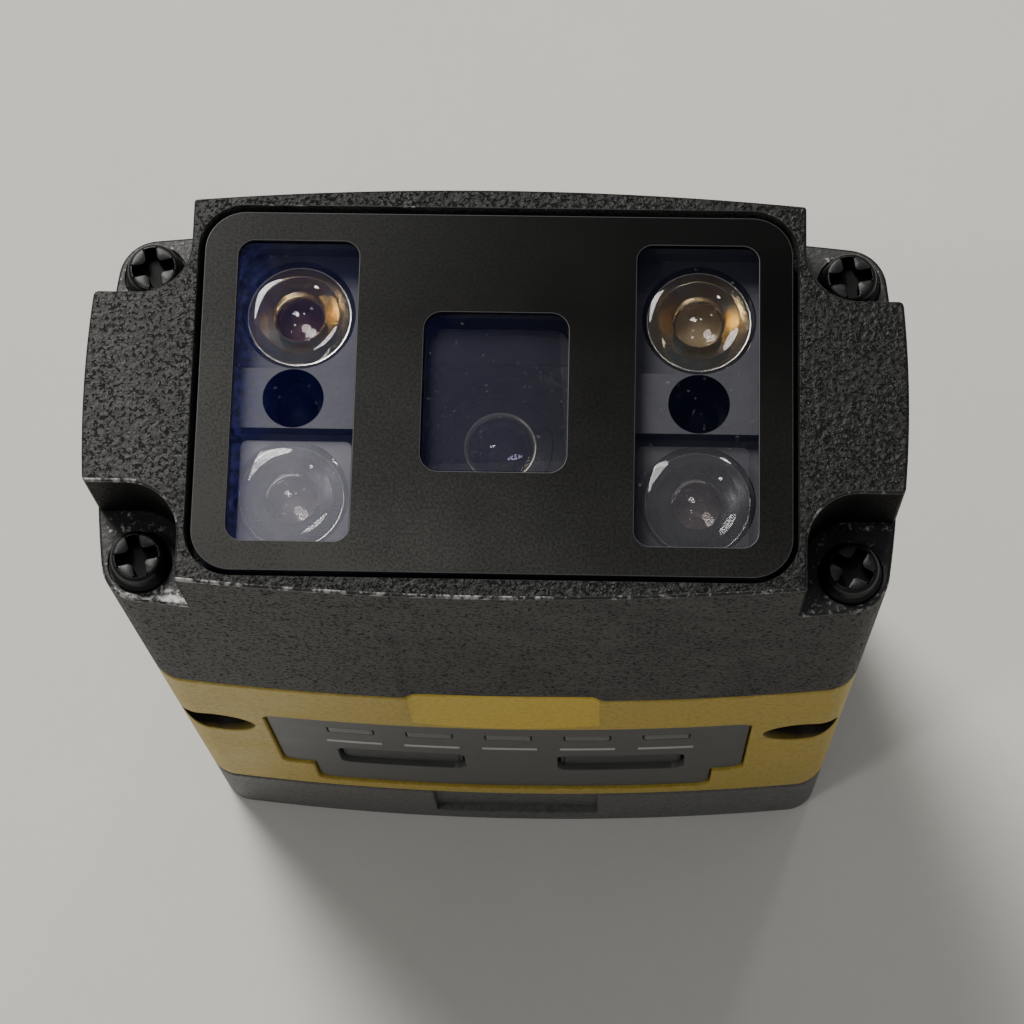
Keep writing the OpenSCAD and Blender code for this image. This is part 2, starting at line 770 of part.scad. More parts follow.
module front_housing() {
    color("#222325") difference() {
        slab(z_front, body_h) outline(0);
        slab(z_ledge, body_h + cut) for (sx = [0, 1], sy = [0, 1])
            mirror([sx, 0]) mirror([0, sy]) notch();
        slab(z_seat, body_h + cut) rounded(recess_w, recess_d, recess_r);
        slab(z_wall - cut, body_h) rounded(open_w, open_d, open_r);
        slab(z_front - cut, z_wall) hollow(front_cav_w, clamp_bay_w);
        four(screw_x, screw_y) rod(spot_r, z_ledge - spot_d, body_h);
        four(screw_x, screw_y) rod(screw_hole_r, z_front - cut, body_h);
        translate([-groove_w / 2, 0, 0]) rotate([90, 0, 90]) linear_extrude(groove_w) polygon([
            [-body_d, z_front - cut],
            [groove_d - body_d / 2, z_front - cut],
            [groove_d - body_d / 2, z_front + groove_h],
            [-body_d / 2, z_front + groove_h + groove_ramp],
            [-body_d, z_front + groove_h + groove_ramp]]);
    }
}

module window_gasket() {
    color("#141414") slab(z_seat, z_pane_low) difference() {
        rounded(pane_w, pane_d, pane_r);
        rounded(open_w + 2 * gasket_setback, open_d + 2 * gasket_setback, open_r);
    }
}

module window_pane() {
    color("#8a90b0", 0.35) slab(z_pane_low, z_pane_top) rounded(pane_w, pane_d, pane_r);
}

module window_mask() {
    color("#2f3032") slab(z_pane_top, z_pane_top + mask_t) difference() {
        rounded(pane_w, pane_d, pane_r);
        rounded(camera_window_w, camera_window_d, camera_window_r);
        for (s = [-1, 1])
            translate([s * light_window_x, 0]) rounded(light_window_w, light_window_d, light_window_r);
    }
}

module camera_polariser() {
    color("#6d6c80") slab(z_film, z_pane_low) rounded(camera_film_w, camera_film_d, film_r);
}

module side_film(side) {
    color("#6d6c80") slab(z_film, z_pane_low) translate([side * side_film_x, -side_film_y])
        rounded(side_film_w, side_film_d, film_r);
}

module left_polariser() { side_film(-1); }

module right_polariser() { side_film(1); }

module light_carrier() {
    color("#4a4a58") difference() {
        union() {
            slab(z_wall - cut, z_land) rounded(nose_w, nose_d, open_r);
            slab(z_light, z_wall) rounded(carrier_w, carrier_d, hollow_r);
            slab(z_barrel + tunnel_air, z_light + cut)
                rounded(tunnel_w + 2 * tunnel_wall, tunnel_d + 2 * tunnel_wall, tunnel_r + tunnel_wall);
        }
        slab(z_barrel, body_h) rounded(tunnel_w, tunnel_d, tunnel_r);
        for (sx = [-1, 1]) {
            translate([sx * led_x, 0]) rod(aimer_r + aimer_play, z_light - cut, body_h);
            for (sy = [-1, 1]) {
                slab(z_lens, body_h) translate([sx * light_window_x, sy * pocket_y])
                    square([pocket_w, pocket_d], center = true);
                translate([sx * led_x, sy * led_y]) {
                    rod(lens_r + lens_play, z_lens_seat, body_h);
                    rod(lens_r - lens_step + lens_play, z_light - cut, body_h);
                }
            }
        }
        four(light_screw_x, light_screw_y)
            rod(small_tap_r, z_light - cut, z_light + light_grip + small_tap_spare);
    }
}

// Collimator lens with its tail on the light board
module collimator(sx, sy) {
    cap_r = (dome_r ^ 2 + dome_h ^ 2) / (2 * dome_h);
    color("#d8dae0", 0.5) translate([sx * led_x, sy * led_y, 0]) difference() {
        union() {
            difference() {
                union() {
                    rod(lens_r, z_lens_seat, z_lens);
                    translate([0, 0, z_light])
                        cylinder(r1 = lens_tail_r, r2 = lens_r - lens_step, h = z_lens_seat - z_light);
                }
                rod(well_r, z_lens - well_d, z_lens + cut);
            }
            intersection() {
                translate([0, 0, z_lens - well_d + dome_h - cap_r]) sphere(cap_r);
                rod(well_r, z_lens - well_d, z_lens);
            }
        }
        rod(lens_hollow_r, z_light - cut, z_light + lens_hollow_h);
    }
}

module upper_left_lens() { collimator(-1, 1); }

module upper_right_lens() { collimator(1, 1); }

module lower_left_lens() { collimator(-1, -1); }

module lower_right_lens() { collimator(1, -1); }

// Light emitter with its dome on a square base
module emitter(sx, sy) {
    color("#d9b45a") translate([sx * led_x, sy * led_y, z_light]) {
        translate([0, 0, emitter_h / 2]) cube([emitter_w, emitter_w, emitter_h], center = true);
        intersection() {
            translate([0, 0, emitter_h]) sphere(emitter_r);
            cylinder(r = emitter_r, h = emitter_h + emitter_r);
        }
    }
}

module upper_left_emitter() { emitter(-1, 1); }

module upper_right_emitter() { emitter(1, 1); }

module lower_left_emitter() { emitter(-1, -1); }

module lower_right_emitter() { emitter(1, -1); }

// Aimer barrel with a domed lens sunk in its front
module aimer(side) {
    top = z_land - aimer_drop;
    cap_r = (aimer_eye_r ^ 2 + aimer_dome_h ^ 2) / (2 * aimer_dome_h);
    color("#3a3530") translate([side * led_x, 0, 0]) {
        difference() {
            rod(aimer_r, top - aimer_h, top);
            rod(aimer_eye_r, top - aimer_eye_d, top + cut);
        }
        intersection() {
            translate([0, 0, top - aimer_eye_d + aimer_dome_h - cap_r]) sphere(cap_r);
            rod(aimer_eye_r, top - aimer_eye_d, top);
        }
    }
}

module left_aimer() { aimer(-1); }

module right_aimer() { aimer(1); }

module light_board() {
    color("#1e3a2a") slab(z_light_low, z_light) difference() {
        rounded(light_board_w, light_board_d, hollow_r);
        rounded(tunnel_w + 2 * tunnel_wall + 2 * inner_gap, tunnel_d + 2 * tunnel_wall + 2 * inner_gap,
            tunnel_r + tunnel_wall);
        for (s = [-1, 1])
            translate([s * led_x, 0]) circle(aimer_r + aimer_air);
        four(light_screw_x, light_screw_y) circle(small_hole_r);
    }
}

module light_board_screws() {
    color("#b8bcc0") four(light_screw_x, light_screw_y) translate([0, 0, z_light_low])
        rotate([180, 0, 0]) board_screw(board_t + light_grip);
}

module lens_barrel() {
    color("#17181a") difference() {
        rod(barrel_r, z_barrel - barrel_h, z_barrel);
        rod(element_r + optic_play, z_element - element_t, z_barrel + cut);
        rod(barrel_bore_r, z_barrel - barrel_h - cut, z_barrel);
    }
}

module front_element() {
    cap_r = (aperture_r ^ 2 + element_rise ^ 2) / (2 * element_rise);
    color("#7f7fc0", 0.5) {
        rod(element_r, z_element - element_t, z_element);
        intersection() {
            translate([0, 0, z_element + element_rise - cap_r]) sphere(cap_r);
            rod(aperture_r - optic_play, z_element - element_t, z_barrel);
        }
    }
}

module retaining_ring() {
    color("#26262a") difference() {
        rod(element_r, z_element, z_ring);
        rod(aperture_r, z_element - cut, z_barrel);
    }
}

module lock_ring() {
    color("#2a2a2c") difference() {
        rod(lock_r, z_holder, z_holder + lock_t);
        rod(barrel_r + optic_play, z_holder - cut, z_barrel);
    }
}

module lens_holder() {
    color("#1b1b1d") difference() {
        slab(z_sensor, z_holder) rounded(holder_w, holder_w, hollow_r);
        slab(z_sensor - cut, z_sensor + holder_hollow_h) rounded(holder_hollow_w, holder_hollow_w, hollow_r);
        rod(barrel_r + optic_play, z_sensor, z_barrel);
    }
}

module image_sensor() {
    color("#30343c") slab(z_sensor, z_sensor + sensor_t) square(sensor_w, center = true);
}

module sensor_board() {
    color("#1e3a2a") slab(z_sensor_low, z_sensor) difference() {
        rounded(sensor_board_w, sensor_board_d, hollow_r);
        four(sensor_screw_x, sensor_screw_y) circle(small_hole_r);
    }
}

module sensor_board_screws() {
    color("#b8bcc0") four(sensor_screw_x, sensor_screw_y) translate([0, 0, z_sensor])
        board_screw(board_t + sensor_grip);
}

module light_flex() {
    color("#b06a2a") slab(z_sensor, z_light_low)
        translate([flex_t / 2 + flex_setback - sensor_board_w / 2, 0]) square([flex_t, flex_w], center = true);
}

module sensor_connector() {
    color("#d8d2c0") slab(z_board_top - link_lap, z_sensor_low)
        translate([0, processor_y + board_t + link_d / 2]) square([link_w, link_d], center = true);
}

module chassis() {
    rail_w = bay_w / 2 - inner_gap - rail_x;
    rail_d = bay_d - 2 * inner_gap;
    color("#8a8d90") difference() {
        union() {
            for (s = [-1, 1])
                slab(rear_h, z_front) translate([s * (rail_x + rail_w / 2), 0])
                    square([rail_w, rail_d], center = true);
            slab(z_plate_low, z_plate) rounded(plate_w, plate_d, hollow_r);
            four(sensor_screw_x, sensor_screw_y) rod(sensor_post_r, z_plate_low, z_sensor_low);
        }
        for (s = [-1, 1])
            translate([s * socket_x, 0]) rod(socket_r + socket_air, 0, z_socket + socket_air);
        slab(rear_h - cut, z_plate_low) for (y = [processor_y, -power_y - board_t])
            translate([-slot_board_w / 2 - slot_play, y - slot_play])
                square([slot_board_w + 2 * slot_play, board_t + 2 * slot_play]);
        slab(z_plate_low - cut, z_sensor) translate([0, processor_y + board_t + link_d / 2])
            square([link_w + 2 * inner_gap, link_d + 2 * inner_gap], center = true);
        four(sensor_screw_x, sensor_screw_y)
            rod(small_tap_r, z_sensor_low - sensor_grip - small_tap_spare, z_sensor);
    }
}

// Upright board whose lower face lies at y
module upright_board(y) {
    color("#1e3a2a") slab(z_foot, z_board_top)
        translate([-slot_board_w / 2, y]) square([slot_board_w, board_t]);
}

module processor_board() { upright_board(processor_y); }

module power_board() { upright_board(-power_y - board_t); }

module processor() {
    color("#202022") translate([-chip_w / 2, processor_y + board_t, z_spreader + spreader_lip])
        cube([chip_w, chip_t, z_spreader_top - z_spreader - 2 * spreader_lip]);
}

module heat_spreader() {
    base = processor_y + board_t + chip_t;
    color("#9a9da0") translate([-spreader_w / 2, base, z_spreader])
        cube([spreader_w, cav_d / 2 - spreader_gap - base, z_spreader_top - z_spreader]);
}

module beeper() {
    color("#151515") translate([beeper_x, -power_y - board_t, z_beeper])
        rotate([90, 0, 0]) cylinder(r = beeper_r, h = beeper_h);
}

module stack_connector() {
    color("#d8d2c0") translate([-stack_w / 2, -power_y, z_socket_top + stack_z])
        cube([stack_w, power_y + processor_y, stack_h]);
}

module power_header() {
    color("#d8d2c0") translate([-header_w / 2, -power_y, z_socket_top]) cube([header_w, header_d, header_h]);
}

// Circle of contact positions in a socket
module contact_ring(count, circle_r) {
    for (i = [0:count - 1])
        rotate((i + 0.5) * 360 / count) translate([circle_r, 0]) children();
}

module network_places() {
    translate([-socket_x, 0]) contact_ring(network_pins, contact_circle) children();
}

module power_places() {
    translate([socket_x, 0]) {
        contact_ring(power_pins, contact_circle) children();
        contact_ring(inner_pins, inner_circle) children();
    }
}

module socket_board() {
    color("#1e3a2a") slab(z_socket, z_socket_top) difference() {
        rounded(socket_board_w, socket_board_d, hollow_r);
        network_places() circle(contact_r + contact_play);
        power_places() circle(contact_r + contact_play);
    }
}

// Outline of the label panel on its face, grown by a margin
module label_outline(margin) {
    translate([0, label_z + label_h / 2])
        rounded(label_w + 2 * margin, label_h + 2 * margin, label_r + margin);
    translate([0, label_z - tab_h / 2 + label_r])
        rounded(tab_w + 2 * margin, tab_h + 2 * label_r + 2 * margin, label_r + margin);
}

// Indicator outlines on the label face, grown by a margin
module indicator_row(w, h) {
    for (i = [0:indicators - 1])
        translate([(i - (indicators - 1) / 2) * indicator_pitch, indicator_z]) square([w, h], center = true);
}

// Key outlines on the label face, grown by a margin
module key_outline(side, margin) {
    translate([side * key_x, key_z]) rounded(key_w + 2 * margin, key_h + 2 * margin, key_r + margin);
}

module label_panel() {
    color("#3a3b3d") intersection() {
        crown_band(label_drop, label_back);
        outwards() difference() {
            label_outline(0);
            indicator_row(indicator_w + 2 * indicator_play, indicator_h + 2 * indicator_play);
            for (s = [-1, 1]) key_outline(s, key_gap);
        }
    }
}

module light_pipe() {
    bar_w = (indicators - 1) * indicator_pitch + indicator_w + 2 * pipe_margin;
    color("#e4e6e2") {
        intersection() {
            crown_band(label_drop, cav_d);
            outwards() indicator_row(indicator_w, indicator_h);
            translate([0, -body_d / 2 - cav_d / 2 + pipe_air + pipe_t / 2, indicator_z])
                cube([body_w, body_d, body_h], center = true);
        }
        translate([0, pipe_air + pipe_t / 2 - cav_d / 2, indicator_z])
            cube([bar_w, pipe_t, indicator_h + 2 * pipe_margin], center = true);
    }
}

module indicator_chips() {
    color("#e8e4d0") translate([0, y_key_board, 0]) rotate([90, 0, 0]) linear_extrude(diode_t)
        indicator_row(diode_w, diode_d);
}

module key_board() {
    color("#1e3a2a") translate([0, y_key_board + key_board_t, 0]) rotate([90, 0, 0])
        linear_extrude(key_board_t) difference() {
            translate([0, key_board_z + key_board_h / 2]) square([key_board_w, key_board_h], center = true);
            key_screw_places() circle(small_hole_r);
        }
}

// Screw positions of the key board on the label face
module key_screw_places() {
    for (x = [-key_screw_x, key_screw_x], z = [z_low_post, z_high_post])
        translate([x, z]) children();
}

module key_board_screws() {
    color("#b8bcc0") translate([0, y_key_board + key_board_t, 0]) rotate([90, 0, 0]) key_screw_places()
        rotate([180, 0, 0]) board_screw(key_board_t + key_grip);
}

// Key switch on the key board
module key_switch(side) {
    color("#6a6c70") translate([side * key_x, y_key_board, key_z]) rotate([90, 0, 0]) {
        translate([0, 0, switch_t / 2]) cube([switch_w, switch_d, switch_t], center = true);
        cylinder(r = switch_r, h = switch_t + switch_rise);
    }
}

module trigger_switch() { key_switch(-1); }

module tune_switch() { key_switch(1); }

// Key with its cap in the label panel, its flange behind it and a plunger
module label_key(side) {
    color("#2c2d2f") {
        intersection() {
            crown_band(key_drop, flange_back);
            outwards() key_outline(side, 0);
        }
        intersection() {
            crown_band(flange_front, flange_back);
            outwards() key_outline(side, key_flange);
        }
        translate([side * key_x, y_plunger, key_z]) rotate([90, 0, 0])
            cylinder(r = plunger_r, h = body_d / 2 - flange_front + y_plunger - key_flange_t / 2);
    }
}

module trigger_key() { label_key(-1); }

module tune_key() { label_key(1); }

module middle_cover() {
    color("#a8882c") difference() {
        union() {
            difference() {
                slab(z_mid_low, z_mid_top) outline(0);
                slab(z_mid_low - cut, z_mid_top + cut) hollow(cav_w, bay_w);
            }
            translate([0, y_key_board, 0]) rotate([90, 0, 0]) linear_extrude(key_post_h + wall_y / 4)
                key_screw_places() circle(key_post_r);
        }
        intersection() {
            crown_band(-cut, label_back);
            outwards() label_outline(label_gap);
        }
        outwards() for (s = [-1, 1]) key_outline(s, key_flange + key_hole_gap);
        outwards() indicator_row(indicator_w + 2 * indicator_play, indicator_h + 2 * indicator_play);
        translate([0, y_key_board + cut, 0]) rotate([90, 0, 0]) linear_extrude(cut + key_grip + key_tap_spare)
            key_screw_places() circle(small_tap_r);
        four(screw_x, screw_y) rod(screw_tap_r, z_mid_top - screw_grip - tap_spare, z_mid_top + cut);
        four(rear_screw_x, rear_screw_y) rod(screw_tap_r, z_mid_low - cut, z_mid_low + screw_grip + tap_spare);
        for (side = [0, 1], s = [-1, 1]) mirror([0, side, 0]) translate([s * mount_x, -y_pocket, mount_z]) {
            rotate([90, 0, 0]) cylinder(r = mount_pocket_r, h = body_d);
            rotate([-90, 0, 0]) translate([0, 0, -cut]) cylinder(r = mount_r, h = cut + mount_depth);
        }
        translate([-lead_w / 2, 0, 0]) rotate([90, 0, 90]) linear_extrude(lead_w) intersection() {
            translate([-body_d, z_lead]) square([body_d / 2 + groove_d, z_mid_top + cut - z_lead]);
            translate([-body_d / 2, z_lead])
                polygon([[-body_d, 0], [0, 0], [body_d * groove_d, body_d * lead_ramp], [-body_d, body_d * lead_ramp]]);
        }
    }
}

// Flat seal between two shells
module seal_ring(low, x, y) {
    slab(low, low + seal_t) difference() {
        outline(seal_setback);
        hollow(cav_w, bay_w);
        four(x, y) circle(screw_hole_r);
    }
}

module front_seal() { color("#101010") seal_ring(z_mid_top, screw_x, screw_y); }

module rear_seal() { color("#101010") seal_ring(rear_h, rear_screw_x, rear_screw_y); }

module rear_cover() {
    color("#3c3d3f") difference() {
        slab(0, rear_h) outline(0);
        slab(rear_floor_t, rear_h + cut) hollow(cav_w, clamp_bay_w);
        for (s = [-1, 1])
            translate([s * socket_x, 0]) {
                rod(socket_r + socket_air, -cut, rear_h);
                rod(socket_flange_r + inner_gap, rear_floor_t, rear_h + cut);
            }
        four(rear_screw_x, rear_screw_y) {
            rod(screw_hole_r, -cut, rear_h + cut);
            rod(rear_counterbore_r, -cut, rear_counterbore_d);
        }
        translate([0, -body_d / 2, rear_recess_z + rear_h / 2])
            cube([rear_recess_w, 2 * rear_recess_d, rear_h], center = true);
    }
}

module front_screws() {
    color("#1a1a1b") four(screw_x, screw_y) translate([0, 0, z_ledge - spot_d])
        shell_screw(z_ledge - spot_d - z_mid_top + screw_grip);
}

module rear_screws() {
    color("#1a1a1b") four(rear_screw_x, rear_screw_y) translate([0, 0, rear_counterbore_d])
        rotate([180, 0, 0]) shell_screw(z_mid_low - rear_counterbore_d + screw_grip);
}

// Threaded shell of a rear socket with the lip that holds its insert
module socket_shell(side) {
    color("#b4b0a4") translate([side * socket_x, 0, 0]) difference() {
        union() {
            rod(socket_r, socket_sink, z_socket);
            rod(socket_flange_r, rear_floor_t, rear_floor_t + socket_flange_t);
        }
        rod(socket_bore_r, -cut, z_insert_lip);
        rod(insert_r + insert_play, -cut, z_socket + cut);
    }
}

module network_shell() { socket_shell(-1); }

module power_shell() { socket_shell(1); }

// Insulating insert of a rear socket without its contact holes
module insert_blank(side) {
    translate([side * socket_x, 0, 0]) difference() {
        rod(insert_r, z_insert, z_socket);
        translate([0, insert_r, z_insert_lip / 2])
            cube([insert_key_w, 2 * insert_key_d, z_insert_lip], center = true);
    }
}

module network_insert() {
    color("#1c1c1e") difference() {
        insert_blank(-1);
        network_places() rod(contact_r + contact_play, -cut, z_socket + cut);
    }
}

module power_insert() {
    color("#1c1c1e") difference() {
        insert_blank(1);
        power_places() rod(contact_r + contact_play, -cut, z_socket + cut);
    }
}

// Contact with a bore for the mating pin
module contact() {
    difference() {
        rod(contact_r, z_contact, z_socket_top);
        rod(contact_bore_r, z_contact - cut, z_contact + contact_bore_d);
    }
}

module network_contacts() { color("#c9a64a") network_places() contact(); }

module power_contacts() { color("#c9a64a") power_places() contact(); }

front_housing();
window_gasket();
window_pane();
window_mask();
camera_polariser();
left_polariser();
right_polariser();
light_carrier();
upper_left_lens();
upper_right_lens();
lower_left_lens();
lower_right_lens();
upper_left_emitter();
upper_right_emitter();
lower_left_emitter();
lower_right_emitter();
left_aimer();
right_aimer();
light_board();
light_board_screws();
lens_barrel();
front_element();
retaining_ring();
lock_ring();
lens_holder();
image_sensor();
sensor_board();
sensor_board_screws();
light_flex();
sensor_connector();
chassis();
processor_board();
processor();
heat_spreader();
power_board();
beeper();
stack_connector();
power_header();
socket_board();
middle_cover();
label_panel();
light_pipe();
indicator_chips();
key_board();
key_board_screws();
trigger_switch();
tune_switch();
trigger_key();
tune_key();
front_seal();
rear_seal();
rear_cover();
front_screws();
rear_screws();
network_shell();
power_shell();
network_insert();
power_insert();
network_contacts();
power_contacts();
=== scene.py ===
import math

import bmesh
import bpy
from mathutils import Matrix, Vector


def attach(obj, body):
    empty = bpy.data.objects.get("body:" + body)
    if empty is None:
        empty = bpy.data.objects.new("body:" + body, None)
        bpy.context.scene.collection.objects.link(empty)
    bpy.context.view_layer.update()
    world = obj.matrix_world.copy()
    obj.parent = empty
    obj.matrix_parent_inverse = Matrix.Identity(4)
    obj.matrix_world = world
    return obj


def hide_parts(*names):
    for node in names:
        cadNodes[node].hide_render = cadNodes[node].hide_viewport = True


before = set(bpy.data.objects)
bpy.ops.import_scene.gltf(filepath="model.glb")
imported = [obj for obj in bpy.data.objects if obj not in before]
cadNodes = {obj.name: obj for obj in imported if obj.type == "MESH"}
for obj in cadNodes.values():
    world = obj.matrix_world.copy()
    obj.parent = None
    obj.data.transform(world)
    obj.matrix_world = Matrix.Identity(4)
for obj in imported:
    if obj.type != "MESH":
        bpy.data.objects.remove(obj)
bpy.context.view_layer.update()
mm = 0.001
tiny = 0.01
print("frame loaded:", len(cadNodes), "nodes")


# a dictionary whose values are also read with a dot
class Values(dict):
    __getattr__ = dict.__getitem__


# a socket of a node tree, with arithmetic
class Sock:
    def __init__(self, tree, out=None):
        self.tree = tree
        self.out = out

    # any node: its settings first, then values or links for its sockets
    def node(self, kind, settings=None, inputs=None, out=0):
        made = self.tree.nodes.new(kind)
        for key, value in (settings or {}).items():
            setattr(made, key, value)
        for key, value in (inputs or {}).items():
            self.feed(made.inputs[key], value)
        return Sock(self.tree, made.outputs[out])

    def feed(self, socket, value):
        if isinstance(value, Sock):
            self.tree.links.new(value.out, socket)
        else:
            socket.default_value = value

    def maths(self, operation, *values):
        return self.node("ShaderNodeMath", {"operation": operation}, dict(enumerate(values)))

    def __add__(self, other):
        return self.maths("ADD", self, other)

    __radd__ = __add__

    def __sub__(self, other):
        return self.maths("SUBTRACT", self, other)

    def __rsub__(self, other):
        return self.maths("SUBTRACT", other, self)

    def __mul__(self, other):
        return self.maths("MULTIPLY", self, other)

    __rmul__ = __mul__

    def __truediv__(self, other):
        return self.maths("DIVIDE", self, other)

    def __rtruediv__(self, other):
        return self.maths("DIVIDE", other, self)

    def size(self):
        return self.maths("ABSOLUTE", self)

    def part(self, axis):
        return self.node("ShaderNodeSeparateXYZ", {}, {0: self}, axis)

    # noise at this place
    def noise(self, scale, detail=2, rough=0.5):
        inputs = {"Vector": self, "Scale": scale, "Detail": detail, "Roughness": rough}
        return self.node("ShaderNodeTexNoise", {}, inputs)

    # this value carried from one range to another and held there
    def spread(self, low, high, toLow=0, toHigh=1):
        inputs = {0: self, 1: low, 2: high, 3: toLow, 4: toHigh}
        return self.node("ShaderNodeMapRange", {"clamp": True}, inputs)

    # this value as the factor between two colours
    def tint(self, first, second):
        pair = [colour if isinstance(colour, Sock) else (*colour, 1) for colour in (first, second)]
        return self.node("ShaderNodeMix", {"data_type": "RGBA"}, {0: self, 6: pair[0], 7: pair[1]}, 2)

    # this value as a height
    def bump(self, strength, distance):
        inputs = {"Strength": strength, "Distance": distance, "Height": self}
        return self.node("ShaderNodeBump", {}, inputs)


# finishes: each recipe turns a look into the values of one principled shader

finishes = {}


def addFinishes(recipe, **looks):
    for name, look in looks.items():
        material = bpy.data.materials.new(name)
        material.use_nodes = True
        tree = material.node_tree
        tree.nodes.clear()
        shader = tree.nodes.new("ShaderNodeBsdfPrincipled")
        output = tree.nodes.new("ShaderNodeOutputMaterial")
        tree.links.new(shader.outputs["BSDF"], output.inputs["Surface"])
        spot = Sock(tree).node("ShaderNodeTexCoord", out="Object")
        values = recipe(spot, Values(look))
        for key, value in values.items():
            spot.feed(shader.inputs[key], value)
        if "Alpha" in values:
            material.surface_render_method = "BLENDED"
        finishes[name] = material


# short worm-shaped pits, where one noise crosses its middle and another lets it through
def wormPits(spot, grain):
    crossing = (spot.noise(grain, 1.5, 0.45) - 0.5).size()
    gate = spot.noise(grain * 1.4, 1, 0.4).spread(0.5, 0.58)
    return crossing.spread(0.015, 0.07, 1, 0) * gate


# leather-grain paint: raised lumps with pits between them, the pits darkened as painted shade; faces that
# look up on the left get a lighter colour, dust and painted sheen
def pittedPaint(spot, look):
    lumps = spot.noise(look.grain * 0.9, 2.5, 0.55)
    fine = spot.noise(look.grain * 2.6)
    cloud = spot.noise(look.cloud, 3, 0.55)
    pits = wormPits(spot, look.grain)
    ground = (cloud * 0.6 + fine * 0.4).spread(0.32, 0.68).tint(look.low, look.high)
    facing = spot.node("ShaderNodeTexCoord", out="Normal").part("Z")
    # dust and painted sheen: lighter on faces that look up, towards the left
    dust = facing.spread(0.6, 0.95) * spot.part("X").spread(-0.012, -0.0185) * look.dusty
    ground = (dust * fine.spread(0.35, 0.6, 0.5, 1)).tint(ground, look.dust)
    height = lumps + fine * 0.25 - pits * 0.55
    # painted shade: the pits are darkened in the base colour
    return {"Specular IOR Level": look.specular,
            "Base Color": (pits * 0.78).tint(ground, look.pit),
            "Roughness": (cloud * 0.6 + pits * 0.6).spread(0.2, 0.9, *look.gloss),
            "Normal": height.bump(look.strength, look.lift)}


pitted = dict(grain=3000, cloud=420, strength=1, dust=(0.045, 0.0445, 0.041), dusty=0)
addFinishes(pittedPaint,
    blackGrain=dict(pitted, low=(0.005, 0.0049, 0.0046), high=(0.0105, 0.0102, 0.0096),
        pit=(0.0012, 0.0012, 0.0012), gloss=(0.4, 0.75), lift=0.00009, specular=0.24, dusty=0.85),
    # painted reflection: a lighter copy of the black grain for the housing's upright faces, standing for the
    # floor's sheen
    faceGrain=dict(pitted, low=(0.029, 0.0285, 0.0268), high=(0.096, 0.094, 0.0875),
        pit=(0.003, 0.003, 0.003), gloss=(0.5, 0.95), lift=0.00012, specular=0.12),
    # painted shade: a darker copy of the black grain for the notch walls
    notchBlack=dict(pitted, low=(0.002, 0.002, 0.0019), high=(0.0045, 0.0044, 0.0042),
        pit=(0.001, 0.001, 0.001), grain=3200, gloss=(0.55, 0.85), strength=0.6, lift=0.00005,
        specular=0.1))


# the same paint rubbed on an edge, with a painted highlight: more so towards the label side and to the left
def rubbedEdge(spot, look):
    patch = spot.noise(look.patch, 4, 0.65)
    fine = spot.noise(look.grain, 3, 0.6)
    near = spot.part("Y").spread(*look.near)
    # painted highlight: the rub grows to the left, where the light falls
    left = spot.part("X").spread(0.004, -0.014)
    wear = patch * 0.5 + fine * 0.5 + near * (left * look.lefter + look.nearer)
    rub = wear.spread(look.start, look.end)
    return {"Base Color": rub.tint(look.low, look.high),
            "Metallic": rub * look.metal,
            "Roughness": fine.spread(0.3, 0.7, *look.gloss),
            "Normal": fine.bump(0.5, look.lift)}


rubbed = dict(grain=4200, near=(0.004, -0.0095), nearer=0.04, metal=0.5)
addFinishes(rubbedEdge,
    blackEdge=dict(rubbed, low=(0.014, 0.0138, 0.0135), high=(0.42, 0.41, 0.395), patch=900, grain=3300,
        nearer=0.07, lefter=0.06, start=0.58, end=0.7, gloss=(0.3, 0.52), lift=0.00003),
    ledgeRub=dict(rubbed, low=(0.007, 0.0069, 0.0066), high=(0.55, 0.54, 0.52), patch=1200,
        near=(-0.0088, -0.0101), lefter=0.1, start=0.57, end=0.68, gloss=(0.35, 0.6), lift=0.00005),
    yellowEdge=dict(rubbed, low=(0.4, 0.28, 0.025), high=(0.62, 0.46, 0.1), patch=700, lefter=0,
        start=0.5, end=0.75, metal=0, gloss=(0.36, 0.5), lift=0.00002))


# pebble-grain paint: lumps of about a third of a millimetre, cloudy gloss
def grainPaint(spot, look):
    lumps = spot.node("ShaderNodeTexVoronoi", {"feature": "SMOOTH_F1"},
                      {"Vector": spot, "Scale": look.grain, "Smoothness": 0.8})
    fine = spot.noise(look.grain * 1.7, 3, 0.6)
    cloud = spot.noise(look.cloud, 3, 0.55)
    height = (1 - lumps) * 0.7 + fine * 0.45
    pits = height.spread(0.35, 0.75)
    return {"Specular IOR Level": look.specular,
            # painted shade: the grain's hollows are darker in the base colour, the lumps lighter
            "Base Color": (pits * 0.75 + cloud * 0.25).tint(look.low, look.high),
            "Roughness": (cloud + (1 - pits) * 0.35).spread(0.3, 1.1, *look.gloss),
            "Normal": height.bump(look.strength, look.lift)}


yellow = dict(grain=3600, cloud=240, lift=0.00003)
addFinishes(grainPaint,
    yellowPaint=dict(yellow, low=(0.36, 0.25, 0.022), high=(0.5, 0.355, 0.042), gloss=(0.4, 0.58),
        strength=0.25, specular=0.4),
    # painted highlight: a lighter copy of the yellow paint for the groove's faces
    yellowRamp=dict(yellow, low=(0.54, 0.37, 0.02), high=(0.67, 0.47, 0.04), gloss=(0.36, 0.52),
        strength=0.22, specular=0.45),
    greyPaint=dict(low=(0.066, 0.066, 0.062), high=(0.118, 0.118, 0.111), grain=3400, cloud=300,
        gloss=(0.45, 0.65), strength=0.5, lift=0.00004, specular=0.4))


